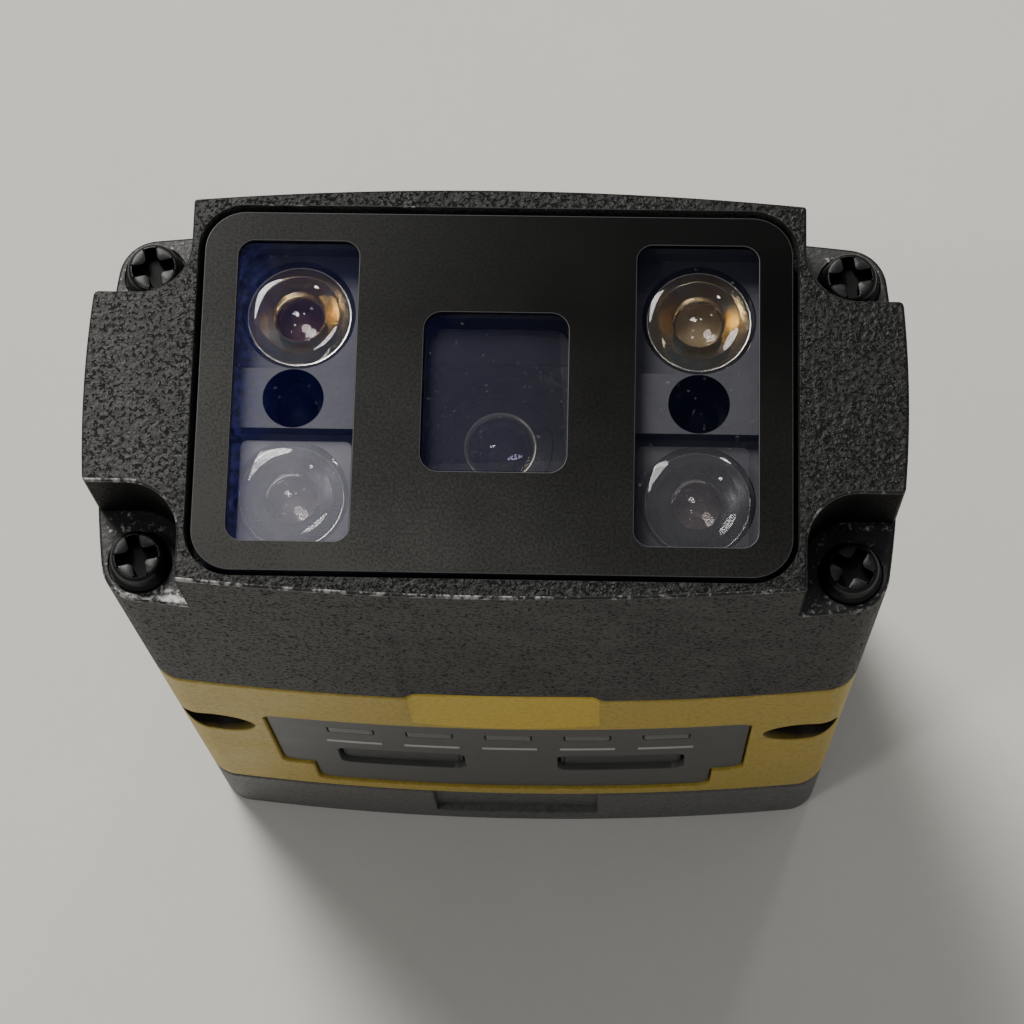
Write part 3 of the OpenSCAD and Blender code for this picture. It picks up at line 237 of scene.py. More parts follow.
# moulded, printed or plated surface with a cloudy tint and fine tooth
def plainFinish(spot, look):
    cloud = spot.noise(look.get("cloud", 260), 3, 0.6)
    tooth = spot.noise(look.get("tooth", 5200))
    vary = look.get("vary", 0.18)
    rough = look.rough
    low = [c * (1 - vary) for c in look.colour]
    high = [min(1, c * (1 + vary)) for c in look.colour]
    return {"Metallic": look.get("metal", 0),
            "Specular IOR Level": look.get("specular", 0.5),
            "Base Color": (cloud * 0.7 + tooth * 0.3).spread(0.3, 0.7).tint(low, high),
            "Roughness": cloud.spread(0.3, 0.7, rough * 0.88, min(1, rough * 1.12)),
            "Normal": tooth.bump(look.get("strength", 0.25), look.get("lift", 0.00001))}


# look of a plain finish: red, green, blue and roughness first
def shade(r, g, b, rough, **more):
    return dict(more, colour=(r, g, b), rough=rough)


addFinishes(plainFinish,
    # painted highlight: a light line on the mask's cut edges
    filmEdge=shade(0.026, 0.026, 0.03, 0.45, vary=0.3),
    carrierPlastic=shade(0.07, 0.07, 0.085, 0.5, tooth=3800, strength=0.35, lift=0.00002),
    screwBlack=shade(0.006, 0.006, 0.0062, 0.34, tooth=4200, strength=0.35, lift=0.00002, specular=0.3),
    recessBlack=shade(0.0018, 0.0018, 0.0018, 0.5, specular=0.15),
    labelGrey=shade(0.066, 0.066, 0.062, 0.48, tooth=7000, strength=0.3),
    keyGrey=shade(0.022, 0.022, 0.023, 0.45, tooth=7000, strength=0.3),
    printWhite=shade(0.4, 0.4, 0.385, 0.55, vary=0.1),
    indicatorMilk=shade(0.11, 0.11, 0.105, 0.4, vary=0.15),
    sealRubber=shade(0.008, 0.008, 0.008, 0.7, strength=0.4),
    emitterGold=shade(0.85, 0.5, 0.12, 0.3, metal=0.85, vary=0.25),
    chipPurple=shade(0.13, 0.05, 0.055, 0.16, vary=0.25),
    chipAmber=shade(0.75, 0.6, 0.33, 0.16, vary=0.2),
    chipDim=shade(0.3, 0.27, 0.27, 0.16, vary=0.25),
    boardGreen=shade(0.012, 0.06, 0.035, 0.45, cloud=500, vary=0.35),
    smallSteel=shade(0.55, 0.56, 0.58, 0.32, metal=1),
    opticBlack=shade(0.012, 0.012, 0.014, 0.4, metal=0.2),
    holderGrey=shade(0.3, 0.295, 0.28, 0.5),
    ringSteel=shade(1, 0.95, 0.78, 0.45, metal=1, vary=0.06),
    aimerDark=shade(0.003, 0.003, 0.006, 0.6, specular=0.1),
    sensorDark=shade(0.03, 0.04, 0.07, 0.2, metal=0.4),
    flexOrange=shade(0.45, 0.19, 0.04, 0.4),
    connectorIvory=shade(0.6, 0.55, 0.43, 0.5),
    castAluminium=shade(0.5, 0.51, 0.52, 0.42, metal=1, strength=0.4),
    chipBlack=shade(0.018, 0.018, 0.02, 0.5),
    diodeWhite=shade(0.75, 0.72, 0.58, 0.35),
    switchGrey=shade(0.16, 0.16, 0.17, 0.45),
    nickel=shade(0.58, 0.56, 0.5, 0.26, metal=1, vary=0.1),
    insertBlack=shade(0.016, 0.016, 0.018, 0.48, strength=0.35),
    contactGold=shade(0.75, 0.52, 0.17, 0.24, metal=1))


# see-through pane or film: most light passes, the rest is a tinted sheen with faint dust
def veilFinish(spot, look):
    cloud = spot.noise(look.cloud, 3, 0.6)
    specks = spot.noise(look.specks, 1, 0.4).spread(0.72, 0.8)
    beside = spot.part("X")
    # painted reflection and shade: the colour runs from the lighter, bluer colour at the left to the darker
    # side colour at the right
    across = beside.spread(-0.011, 0.005)
    blotch = spot.noise(look.cloud * 2.6, 2, 0.6).spread(0.36, 0.62)
    # painted reflection: blue blotches along the left rim
    rim = beside.spread(-0.0115, -0.0136) * blotch
    ground = across.tint(look.colour, look.side)
    ground = rim.tint(ground, look.get("rim", look.colour))
    veil = cloud.spread(0.3, 0.7, look.sheer, look.hazy)
    veil = veil + across * look.get("sideWeight", 0) + rim * look.get("rimWeight", 0)
    return {"Specular IOR Level": look.specular,
            "IOR": 1.5,
            "Base Color": specks.tint(ground, look.dust),
            "Roughness": cloud.spread(0.3, 0.7, *look.gloss),
            "Alpha": veil + specks * look.speckWeight}


film = dict(dust=(0.3, 0.3, 0.32), gloss=(0.3, 0.42), specks=3000, sheer=0.15, hazy=0.2,
    speckWeight=0.05, specular=0.3)
addFinishes(veilFinish,
    paneGlass=dict(colour=(0.007, 0.01, 0.12), side=(0.004, 0.005, 0.02), dust=(0.3, 0.3, 0.33),
        rim=(0.06, 0.07, 0.4), rimWeight=0.06, sideWeight=0.07, gloss=(0.08, 0.15), cloud=900,
        specks=3600, sheer=0.05, hazy=0.1, speckWeight=0.03, specular=0.16),
    # painted light and shade: the left film lighter, the right film darker
    sideFilm=dict(film, colour=(0.54, 0.53, 0.59), side=(0.115, 0.112, 0.12), dust=(0.5, 0.5, 0.52),
        cloud=420, specks=3400, speckWeight=0.03),
    cameraFilm=dict(film, colour=(0.125, 0.125, 0.155), side=(0.115, 0.113, 0.135), cloud=300),
    # painted highlight: a denser line along the films' edges
    filmRim=dict(film, colour=(0.16, 0.16, 0.2), side=(0.1, 0.1, 0.12), gloss=(0.35, 0.5), cloud=600,
        sheer=0.3, hazy=0.42))


# clear moulded optics, refracting
def clearFinish(spot, look):
    cloud = spot.noise(900)
    return {"Transmission Weight": 1,
            "IOR": look.ior,
            "Base Color": cloud.tint(look.colour, look.tint),
            "Roughness": cloud.spread(0.3, 0.7, *look.gloss)}


addFinishes(clearFinish,
    lensDome=dict(colour=(0.9, 0.86, 0.84), tint=(0.86, 0.8, 0.78), gloss=(0.008, 0.02), ior=1.6),
    elementGlass=dict(colour=(0.62, 0.6, 0.9), tint=(0.55, 0.5, 0.85), gloss=(0.01, 0.03), ior=1.6))


# clear collimator with painted reflection: amber patches around the middle of each upper lens stand for the
# amber from below; the lower lenses get a duller colour, darkest on the cone, as painted shade
def lensFinish(spot, look):
    up = spot.part("Y")
    x = spot.part("X").size() - look.x
    y = up.size() - look.y
    away = spot.maths("SQRT", x * x + y * y)
    inner = away.spread(look.inner, look.inner + 0.0003)
    outer = away.spread(look.outer, look.outer - 0.0005)
    patch = spot.noise(620, 1, 0.4).spread(0.36, 0.52)
    upper = up.spread(-0.0005, 0.0005)
    ground = upper.tint(look.lower, look.colour)
    return {"Transmission Weight": look.passing,
            "IOR": look.ior,
            "Metallic": look.metal,
            "Base Color": (inner * outer * patch * upper).tint(ground, look.amber),
            "Roughness": spot.noise(900).spread(0.3, 0.7, *look.gloss)}


addFinishes(lensFinish,
    lensClear=dict(colour=(0.95, 0.94, 0.92), lower=(0.92, 0.92, 0.94), amber=(0.93, 0.68, 0.34),
        gloss=(0.012, 0.04), passing=0.97, ior=1.65, metal=0, x=0.0107, y=0.00505, inner=0.0013,
        outer=0.0024),
    lensCone=dict(colour=(0.95, 0.92, 0.85), lower=(0.5, 0.49, 0.5), amber=(1, 0.72, 0.25),
        gloss=(0.1, 0.24), passing=0, ior=1.5, metal=0.75, x=0.0107, y=0.00505, inner=0.0015, outer=0.0027))


# printed black film, lighter towards its left and lower sides: dust and painted sheen
def dustyFilm(spot, look):
    cloud = spot.noise(160, 3, 0.6)
    left = spot.part("X").spread(look.leftFrom, look.leftTo)
    low = spot.part("Y").spread(look.lowFrom, look.lowTo)
    dust = (left * left * 0.75 + low * (left * 0.5 + 0.32)) * cloud.spread(0.3, 0.7, 0.75, 1.1)
    dust = dust * spot.noise(7000).spread(0.35, 0.65, 0.6, 1.2)
    return {"Specular IOR Level": look.specular,
            "Base Color": dust.spread(0, 1).tint(look.colour, look.dust),
            "Roughness": cloud.spread(0.3, 0.7, look.rough * 0.9, look.rough * 1.15)}


addFinishes(dustyFilm,
    maskFilm=dict(colour=(0.0018, 0.0018, 0.0017), dust=(0.05, 0.0495, 0.046), rough=0.3, specular=0.05,
        leftFrom=0.012, leftTo=-0.016, lowFrom=0.004, lowTo=-0.0095))


# painted shade in a hole in the long faces: yellow at the mouth, dark further in
def pocketFinish(spot, look):
    ragged = spot.noise(900, 3, 0.6)
    depth = spot.part("Y").size() + (ragged - 0.5) * 0.0004
    return {"Specular IOR Level": 0.3,
            "Base Color": depth.spread(look.start, look.end).tint(look.inside, look.mouth),
            "Roughness": ragged.spread(0.3, 0.7, look.rough * 0.85, look.rough * 1.15)}


addFinishes(pocketFinish,
    pocketPaint=dict(mouth=(0.4, 0.275, 0.022), inside=(0.012, 0.01, 0.006), start=0.0098, end=0.0109,
        rough=0.55))
print("finishes:", len(finishes))


# mesh tools; sizes are in millimetres, those of three values are width, depth and corner radius

def meshObject(name, bm, materials):
    mesh = bpy.data.meshes.new(name)
    bm.to_mesh(mesh)
    bm.free()
    for material in materials:
        mesh.materials.append(finishes[material])
    made = bpy.data.objects.new(name, mesh)
    bpy.context.scene.collection.objects.link(made)
    return made


# evaluates the modifiers into a plain mesh
def settle(piece):
    graph = bpy.context.evaluated_depsgraph_get()
    graph.update()
    mesh = bpy.data.meshes.new_from_object(piece.evaluated_get(graph))
    old = piece.data
    piece.modifiers.clear()
    piece.data = mesh
    bpy.data.meshes.remove(old)
    return piece


# closed skin over two rows of points
def skin(rows, name, materials):
    bm = bmesh.new()
    first, second = [[bm.verts.new(Vector(place) * mm) for place in row] for row in rows]
    bm.faces.new(first)
    bm.faces.new(second)
    for i in range(len(first)):
        j = (i + 1) % len(first)
        bm.faces.new((first[i], first[j], second[j], second[i]))
    bmesh.ops.recalc_face_normals(bm, faces=bm.faces)
    return meshObject(name, bm, materials)


# closed prism over a flat outline, run along z or y
def prism(points, low, high, axis="Z", name="cutter", materials=()):
    rows = [[(u, v, w) if axis == "Z" else (u, w, v) for u, v in points] for w in (low, high)]
    return skin(rows, name, materials)


# turned shape about a line through (x, y); an open profile starts and ends on the axis
def turned(profile, x=0, y=0, closed=False, around=96, name="turned", materials=()):
    bm = bmesh.new()
    rings = []
    for r, z in profile:
        places = disc(r, x, y, around) if r > 1e-6 else [(x, y)]
        rings.append([bm.verts.new(Vector((u, v, z)) * mm) for u, v in places])
    pairs = list(zip(rings, rings[1:]))
    if closed:
        pairs.append((rings[-1], rings[0]))
    for first, second in pairs:
        for k in range(around):
            n = (k + 1) % around
            corners = [first[k % len(first)], first[n % len(first)]]
            corners += [second[n % len(second)], second[k % len(second)]]
            corners = list(dict.fromkeys(corners))
            if len(corners) > 2:
                bm.faces.new(corners)
    bmesh.ops.recalc_face_normals(bm, faces=bm.faces)
    return meshObject(name, bm, materials)


def carve(piece, *cutters, how="DIFFERENCE"):
    for cutter in cutters:
        step = piece.modifiers.new("carve", "BOOLEAN")
        step.operation = how
        step.solver = "EXACT"
        step.object = cutter
        settle(piece)
        bpy.data.objects.remove(cutter)
    return piece


# polygon with round corners, each corner given as (x, y, radius)
def roundPolygon(corners, steps=8):
    points = []
    count = len(corners)
    for i, (x, y, r) in enumerate(corners):
        if r <= 0:
            points.append((x, y))
            continue
        here = Vector((x, y))
        before = (Vector(corners[i - 1][:2]) - here).normalized()
        after = (Vector(corners[(i + 1) % count][:2]) - here).normalized()
        half = before.angle(after) / 2
        start = here + before * (r / math.tan(half))
        centre = here + (before + after).normalized() * (r / math.sin(half))
        first = start - centre
        turn = math.pi - 2 * half
        if before.x * after.y - before.y * after.x > 0:
            turn = -turn
        for k in range(steps + 1):
            a = turn * k / steps
            points.append((centre.x + first.x * math.cos(a) - first.y * math.sin(a),
                           centre.y + first.x * math.sin(a) + first.y * math.cos(a)))
    return points


def roundRect(w, d, r, x=0, y=0, steps=8):
    a, b = w / 2, d / 2
    return roundPolygon([(x + a, y - b, r), (x + a, y + b, r), (x - a, y + b, r), (x - a, y - b, r)], steps)


# points on an arc about (x, y), from one angle to another
def arc(x, y, r, start, end, steps):
    angles = [start + (end - start) * k / steps for k in range(steps + 1)]
    return [(x + r * math.cos(a), y + r * math.sin(a)) for a in angles]


def disc(r, x=0, y=0, around=64):
    return arc(x, y, r, 0, 2 * math.pi, around)[:-1]


# true for level edges, by their direction, and for upright faces, by their normal
def noRise(direction):
    return abs(direction.z) < 0.3


# rounds the convex edges: rule gives the width at an edge from its middle and direction
def soften(piece, rule, segments=3, edgeSlot=-1):
    bm = bmesh.new()
    bm.from_mesh(piece.data)
    bmesh.ops.remove_doubles(bm, verts=bm.verts, dist=0.0005 * mm)
    bmesh.ops.dissolve_degenerate(bm, edges=bm.edges, dist=0.0005 * mm)
    bm.normal_update()
    layers = bm.edges.layers.float
    weight = layers.get("bevel_weight_edge") or layers.new("bevel_weight_edge")
    widths = {}
    for edge in bm.edges:
        if len(edge.link_faces) == 2 and edge.is_convex and edge.calc_face_angle(0) > 0.4:
            middle = (edge.verts[0].co + edge.verts[1].co) / (2 * mm)
            line = (edge.verts[1].co - edge.verts[0].co).normalized()
            width = rule(middle, line)
            if width > 0:
                widths[edge] = width
    widest = max(widths.values())
    for edge, width in widths.items():
        edge[weight] = width / widest
    bm.to_mesh(piece.data)
    bm.free()
    step = piece.modifiers.new("soften", "BEVEL")
    step.limit_method = "WEIGHT"
    step.width = widest * mm
    step.segments = segments
    step.use_clamp_overlap = False
    step.miter_outer = "MITER_SHARP"
    step.material = edgeSlot
    settle(piece)
    return smooth(piece)


def smooth(piece, sharp=40):
    mesh = piece.data
    mesh.shade_smooth()
    mesh.set_sharp_from_angle(angle=math.radians(sharp))
    step = piece.modifiers.new("evenNormals", "WEIGHTED_NORMAL")
    step.keep_sharp = True
    step.weight = 60
    return settle(piece)


# one mesh from pieces that have a single material each
def joinPieces(name, pieces):
    bm = bmesh.new()
    materials = []
    for piece in pieces:
        finish = piece.data.materials[0].name
        if finish not in materials:
            materials.append(finish)
        start = len(bm.faces)
        bm.from_mesh(piece.data)
        bm.faces.ensure_lookup_table()
        for face in bm.faces[start:]:
            face.material_index = materials.index(finish)
        bpy.data.objects.remove(piece)
    return meshObject(name, bm, materials)


def camelName(node):
    first, *rest = node.split("_")
    return first + "".join(word.capitalize() for word in rest)


def hold(piece, slotName, *nodes, bodyName="reader"):
    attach(piece, bodyName)
    if nodes:
        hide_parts(*nodes)


# the body's crowned outline

body = Values(w=43.1, d=22.4, h=64, front=24.7, rear=9.3, seal=0.4, longCrown=182, shortCrown=60,
    corner=2.2, outX=20.2, outY=9.7)
zTop = body.h
zFront = zTop - body.front
zMidTop = zFront - body.seal
zMidLow = body.rear + body.seal
faceY = -body.d / 2


def crownedOutline(inset=0, longSteps=28, shortSteps=14, cornerSteps=12):
    bigR, sideR, cornerR = body.longCrown, body.shortCrown, body.corner
    top = Vector((0, body.d / 2 - bigR))
    side = Vector((body.w / 2 - sideR, 0))
    gap = (side - top).length
    along = (side - top) / gap
    across = Vector((along.y, -along.x))
    reach = ((bigR - cornerR) ** 2 - (sideR - cornerR) ** 2 + gap ** 2) / (2 * gap)
    centre = top + along * reach + across * math.sqrt((bigR - cornerR) ** 2 - reach ** 2)
    high = math.atan2(centre.y - top.y, centre.x - top.x)
    low = math.atan2(centre.y - side.y, centre.x - side.x)
    quarter = arc(side.x, 0, sideR - inset, 0, low, shortSteps)
    quarter += arc(centre.x, centre.y, cornerR - inset, low, high, cornerSteps)[1:]
    quarter += arc(0, top.y, bigR - inset, high, math.pi / 2, longSteps)[1:]
    half = quarter + [(-x, y) for x, y in reversed(quarter[:-1])]
    return half + [(x, -y) for x, y in reversed(half[1:-1])]


# depth of the label face at x, drawn in by inset
def crownY(x, inset):
    r = body.longCrown
    return -(math.sqrt((r - inset) ** 2 - x * x) - r + body.d / 2)


# rule for soften: only the edges on the label face, drawn in by inset
def faceEdges(width, inset):
    return lambda middle, line: width if middle.y < crownY(middle.x, inset) + 0.05 else 0


# an edge on the outside of the body
def outside(middle):
    return abs(middle.y) > body.outY or abs(middle.x) > body.outX


# the inside of a shell: a wide box and a longer, narrower one
def hollow(piece, k, low, high):
    carve(piece, prism(roundRect(*k.hollow), low, high), prism(roundRect(*k.bay), low, high))


# groove in the label face: straight floor, a ramp at its end and slanted sides
def grooveCutter(k, near, straight, ramp):
    floor = k.grooveD
    proud = faceY - 0.5
    outline = [(proud, near), (faceY + floor, near), (faceY + floor, straight), (faceY, ramp), (proud, ramp)]
    rows = []
    for s in (-1, 1):
        rows.append([(s * (k.grooveW / 2 - k.grooveSide * (y - faceY) / floor), y, z) for y, z in outline])
    return skin(rows, "cutter", [])


# black front housing

housing = Values(frameW=32.5, earD=10.5, notchR=2.75, outX=30, outY=20, ledge=5.6, screwX=18.9,
    screwY=8.1, recess=(31.7, 20.26, 2.45), seatZ=62.15, opening=(29.2, 17.76, 1.2), wallZ=60.4,
    hollow=(30.4, 18.4, 0.8), bay=(35, 9.2, 0.8), spotR=1.72, spotD=0.2, spotEdge=0.04, holeR=1.15,
    grooveW=12.4, grooveD=0.33, grooveSide=0.9, grooveStraight=14.7, grooveEnd=17.1, edge=0.17,
    ledgeEdge=0.2, upright=0.12, earX=20, earCorner=0.3, recessEdge=0.07, sealEdge=0.15, sealY=10.7,
    sealReach=0.9, rubbed=-0.15)


def makeHousing(h):
    zLedge = zTop - h.ledge
    frameX, earY = h.frameW / 2, h.earD / 2
    looks = ["blackGrain", "blackEdge", "notchBlack", "ledgeRub", "faceGrain"]
    piece = prism(crownedOutline(), zFront, zTop, "Z", "frontHousing", looks)
    notch = [(frameX, h.outY, 0), (frameX, earY, h.notchR), (h.outX, earY, 0), (h.outX, h.outY, 0)]
    signs = [(1, 1), (1, -1), (-1, 1), (-1, -1)]
    for sx, sy in signs:
        corner = roundPolygon([(sx * x, sy * y, r) for x, y, r in notch], 14)
        carve(piece, prism(corner, zLedge, zTop + 1))
    carve(piece, prism(roundRect(*h.recess, steps=14), h.seatZ, zTop + 1),
          prism(roundRect(*h.opening), h.wallZ - 1, zTop))
    hollow(piece, h, zFront - 1, h.wallZ)
    carve(piece, grooveCutter(h, zFront - 1, zFront + h.grooveStraight, zFront + h.grooveEnd))
    for sx, sy in signs:
        at = (sx * h.screwX, sy * h.screwY)
        carve(piece, prism(disc(h.spotR, *at), zLedge - h.spotD, zTop + 1),
              prism(disc(h.holeR, *at, 40), zFront - 1, zTop))

    def widths(middle, line):
        flat = noRise(line)
        recessX, recessY = h.recess[0] / 2 + 0.03, h.recess[1] / 2 + 0.03
        inWindow = abs(middle.x) < recessX and abs(middle.y) < recessY
        if flat and middle.z > zTop - tiny:
            return h.recessEdge if inWindow else h.edge
        if flat and abs(middle.z - zLedge) < tiny:
            away = math.hypot(abs(middle.x) - h.screwX, abs(middle.y) - h.screwY)
            return h.spotEdge if away < h.spotR + 0.05 else h.ledgeEdge
        if not flat and middle.z > zLedge and not inWindow:
            return h.earCorner if abs(middle.x) > h.earX else h.upright
        if flat and middle.z < zFront + tiny and abs(abs(middle.y) - h.sealY) < h.sealReach:
            return h.sealEdge
        return 0

    soften(piece, widths, 4, 1)
    for face in piece.data.polygons:  # wear with painted highlight: the ledges, and edges that look to the label side
        x, y, z = face.center / mm
        normal = face.normal
        below = zTop - h.edge
        if face.material_index == 1 and normal.y > h.rubbed:
            face.material_index = 0
        if abs(z - zLedge) < 0.02 and normal.z > 0.9:
            face.material_index = 3
        # painted reflection: upright faces below the top get the lighter copy of the paint
        if face.material_index == 0 and noRise(normal) and z < below:
            face.material_index = 4
        # painted shade: the notch walls that face outwards get the darker copy
        inNotch = abs(x) > frameX - 0.1 and abs(y) > earY - 0.1 and zLedge < z < below - 0.1
        if inNotch and noRise(normal) and normal.x * x + normal.y * y * 2 > 0:
            face.material_index = 2
    hold(piece, "housing_black", "front_housing")


makeHousing(housing)
print("front housing done")


# window: mask film, pane, films

window = Values(pane=(31.1, 19.66, 2.15), paneLow=62.45, paneTop=63.65, paneEdge=0.06, maskTop=63.85,
    maskEdge=0.05, camera=(7.6, 8.7, 0.95), light=(6.4, 16.44, 0.85), lightX=10.55, cutLow=60, cutHigh=66)
films = Values(low=62.3, high=62.45, edge=0.045, camera=(7.6, 7.8, 0.8), side=(5.9, 5.95, 0.4), sideX=10.4,
    sideY=-5.4)


# rule for soften: only the level edges, from a height upwards
def levelEdges(width, fromZ=0):
    return lambda middle, line: width if noRise(line) and middle.z > fromZ else 0


def makeWindow(w):
    outline = roundRect(*w.pane, steps=14)
    mask = prism(outline, w.paneTop, w.maskTop, "Z", "windowMask", ["maskFilm", "filmEdge"])
    openings = [roundRect(*w.camera, steps=10)]
    openings += [roundRect(*w.light, s * w.lightX, 0, 10) for s in (1, -1)]
    for opening in openings:
        carve(mask, prism(opening, w.cutLow, w.cutHigh))
    hold(soften(mask, levelEdges(w.maskEdge, w.maskTop - tiny), 2, 1), "mask_film", "window_mask")
    pane = prism(outline, w.paneLow, w.paneTop, "Z", "windowPane", ["paneGlass"])
    hold(soften(pane, levelEdges(w.paneEdge), 2), "pane_glass", "window_pane")


def makeFilms(f):
    x, y = f.sideX, f.sideY
    places = [("camera_polariser", "cameraFilm", "cameraFilm", f.camera, (0, 0)),
              ("left_polariser", "leftFilm", "sideFilm", f.side, (-x, y)),
              ("right_polariser", "rightFilm", "sideFilm", f.side, (x, y))]
    for node, name, finish, size, at in places:
        piece = prism(roundRect(*size, *at), f.low, f.high, "Z", name, [finish, "filmRim"])
        hold(soften(piece, levelEdges(f.edge), 2, 1), "polariser_film", node)


makeWindow(window)
makeFilms(films)
print("window done")


# light carrier, lenses, emitters, aimers

lights = Values(x=10.7, y=5.05, front=61.1, board=57.9, rim=3, rimT=0.5, coneR=2.7, tail=1.95, wellR=1.4,
    wellD=1, domeR=1.25, domeH=0.75, hollowR=1.5, hollowH=1.6, base=(2, 2, 0.15), baseH=0.5,
    baseEdge=0.06, emitterR=0.85, crest=2.2, tilt=0.01, bend=0.14, step=0.08, dish=0.26, lip=0.06,
    chips=Values(upper_left="chipPurple", upper_right="chipAmber"))
carrier = Values(block=(30, 18, 0.8), wall=60.4, nose=(28.8, 17.36, 1.2), land=62.2,
    tube=(10.2, 11, 1.8), tubeLow=54.6, tunnel=(8.4, 9.2, 0.9), eyeR=1.62, pocket=(6.74, 6.74, 0.12),
    pocketX=10.55, pocketY=5.02, play=0.05)


# half of a round cap, from its edge up to the axis
def capPoints(radius, rise, base, steps=14):
    ball = (radius ** 2 + rise ** 2) / (2 * rise)
    wide = math.asin(min(1, radius / ball))
    return arc(0, base + rise - ball, ball, math.pi / 2 - wide, math.pi / 2, steps)


def makeCarrier(c, l):
    board, above = l.board, c.land + 1
    looks = ["carrierPlastic", "aimerDark"]
    block = prism(roundRect(*c.block), board, c.wall, "Z", "lightCarrier", looks)
    carve(block, prism(roundRect(*c.nose), board + 1, c.land),
          prism(roundRect(*c.tube), c.tubeLow, board + 1), how="UNION")
    carve(block, prism(roundRect(*c.tunnel), c.tubeLow - 1, above))
    for sx in (1, -1):
        carve(block, prism(disc(c.eyeR, sx * l.x, 0), board - 1, above))
        for sy in (1, -1):
            at = (sx * l.x, sy * l.y)
            carve(block, prism(roundRect(*c.pocket, sx * c.pocketX, sy * c.pocketY, 3), l.front, above),
                  prism(disc(l.rim + c.play, *at, 72), l.front - l.rimT, above),
                  prism(disc(l.coneR + c.play, *at, 72), board - 1, c.land))
    for face in block.data.polygons:  # painted shade: the bores over the aimers are painted dark inside
        away = math.hypot(abs(face.center.x) / mm - l.x, face.center.y / mm)
        if away < c.eyeR + 0.02 and abs(face.normal.z) < 0.5:
            face.material_index = 1
    hold(smooth(block, 35), "carrier_plastic", "light_carrier")


def makeLens(l, node, x, y):
    front, rim, crest, well = l.front, l.rim, l.crest, l.wellR
    flange, floor = front - l.rimT, front - l.wellD
    roof = l.board + l.hollowH
    profile = [(0, roof), (l.hollowR - 0.1, roof), (l.hollowR, roof - 0.1), (l.hollowR, l.board),
               (l.tail, l.board), (l.coneR, flange), (rim, flange)]
    for k in range(9):  # the front falls away towards the rim
        out = (rim - crest) * (1 - k / 8)
        profile.append((crest + out, front - l.tilt * out - l.bend * out * out))
    profile += [(crest - 0.05, front - l.step), (well + l.lip, front - l.dish),
                (well, front - l.dish - l.lip), (well, floor)]
    profile += capPoints(l.domeR, l.domeH, floor)
    looks = ["lensClear", "lensCone", "lensDome"]
    lens = turned(profile, x, y, around=72, name=camelName(node) + "Lens", materials=looks)
    for face in lens.data.polygons:  # the cone and the underside of the flange reflect, the dome is clearer
        out = math.hypot(face.center.x / mm - x, face.center.y / mm - y)
        if out > l.tail - 0.1 and face.center.z / mm < flange + tiny:
            face.material_index = 1
        elif out < l.domeR + tiny:
            face.material_index = 2
    hold(smooth(lens, 35), "lens_clear", node + "_lens")


def makeEmitter(l, node, x, y):
    top, r = l.board + l.baseH, l.emitterR
    base = prism(roundRect(*l.base, x, y), l.board, top, "Z", "base", ["emitterGold"])
    soften(base, lambda middle, line: l.baseEdge, 2)
    profile = [(0, top - 0.1), (r, top - 0.1)] + capPoints(r, r, top)
    dome = turned(profile, x, y, around=48, name="dome", materials=[l.chips.get(node, "chipDim")])
    smooth(dome, 35)
    hold(joinPieces(camelName(node) + "Emitter", [base, dome]), "emitter_gold", node + "_emitter")


makeCarrier(carrier, lights)
for sy, row in ((1, "upper"), (-1, "lower")):
    for sx, side in ((-1, "left"), (1, "right")):
        makeLens(lights, row + "_" + side, sx * lights.x, sy * lights.y)
        makeEmitter(lights, row + "_" + side, sx * lights.x, sy * lights.y)
print("lights done")


# node trees: inputs by name, and an end that makes the meshes real and paints them

def newTree(name, inputs):
    tree = bpy.data.node_groups.new(name, "GeometryNodeTree")
    labels = {"Geometry": "Geometry", **inputs}
    for label, kind in labels.items():
        tree.interface.new_socket(label, in_out="INPUT", socket_type="NodeSocket" + kind)
    tree.interface.new_socket("Geometry", in_out="OUTPUT", socket_type="NodeSocketGeometry")
    start = tree.nodes.new("NodeGroupInput")
    return Sock(tree), {label: Sock(tree, start.outputs[label]) for label in labels}


def endTree(pen, shape, material):
    real = pen.node("GeometryNodeRealizeInstances", {}, {"Geometry": shape})
    paint = pen.node("GeometryNodeSetMaterial", {}, {"Geometry": real, "Material": finishes[material]})
    end = pen.tree.nodes.new("NodeGroupOutput")
    pen.feed(end.inputs["Geometry"], paint)
    return pen.tree


def setOut(piece, tree, values):
    step = piece.modifiers.new("setOut", "NODES")
    step.node_group = tree
    for item in tree.interface.items_tree:
        if item.in_out == "INPUT" and item.name in values:
            step[item.identifier] = values[item.name]
    return settle(piece)


# screws: one is modelled, a node tree sets out the four

screws = Values(flange=1.62, flangeH=0.5, head=1.42, headH=1.6, round=0.3, shank=0.75, crossW=2.3,
    crossT=0.62, crossFillet=0.26, crossTip=0.12, crossD=1, crossEdge=0.06,
    front_screws=Values(x=18.9, y=8.1, under=58.2, tip=31.9, up=1, seed=4),
    rear_screws=Values(x=18, y=7.3, under=2, tip=16.7, up=-1, seed=7))


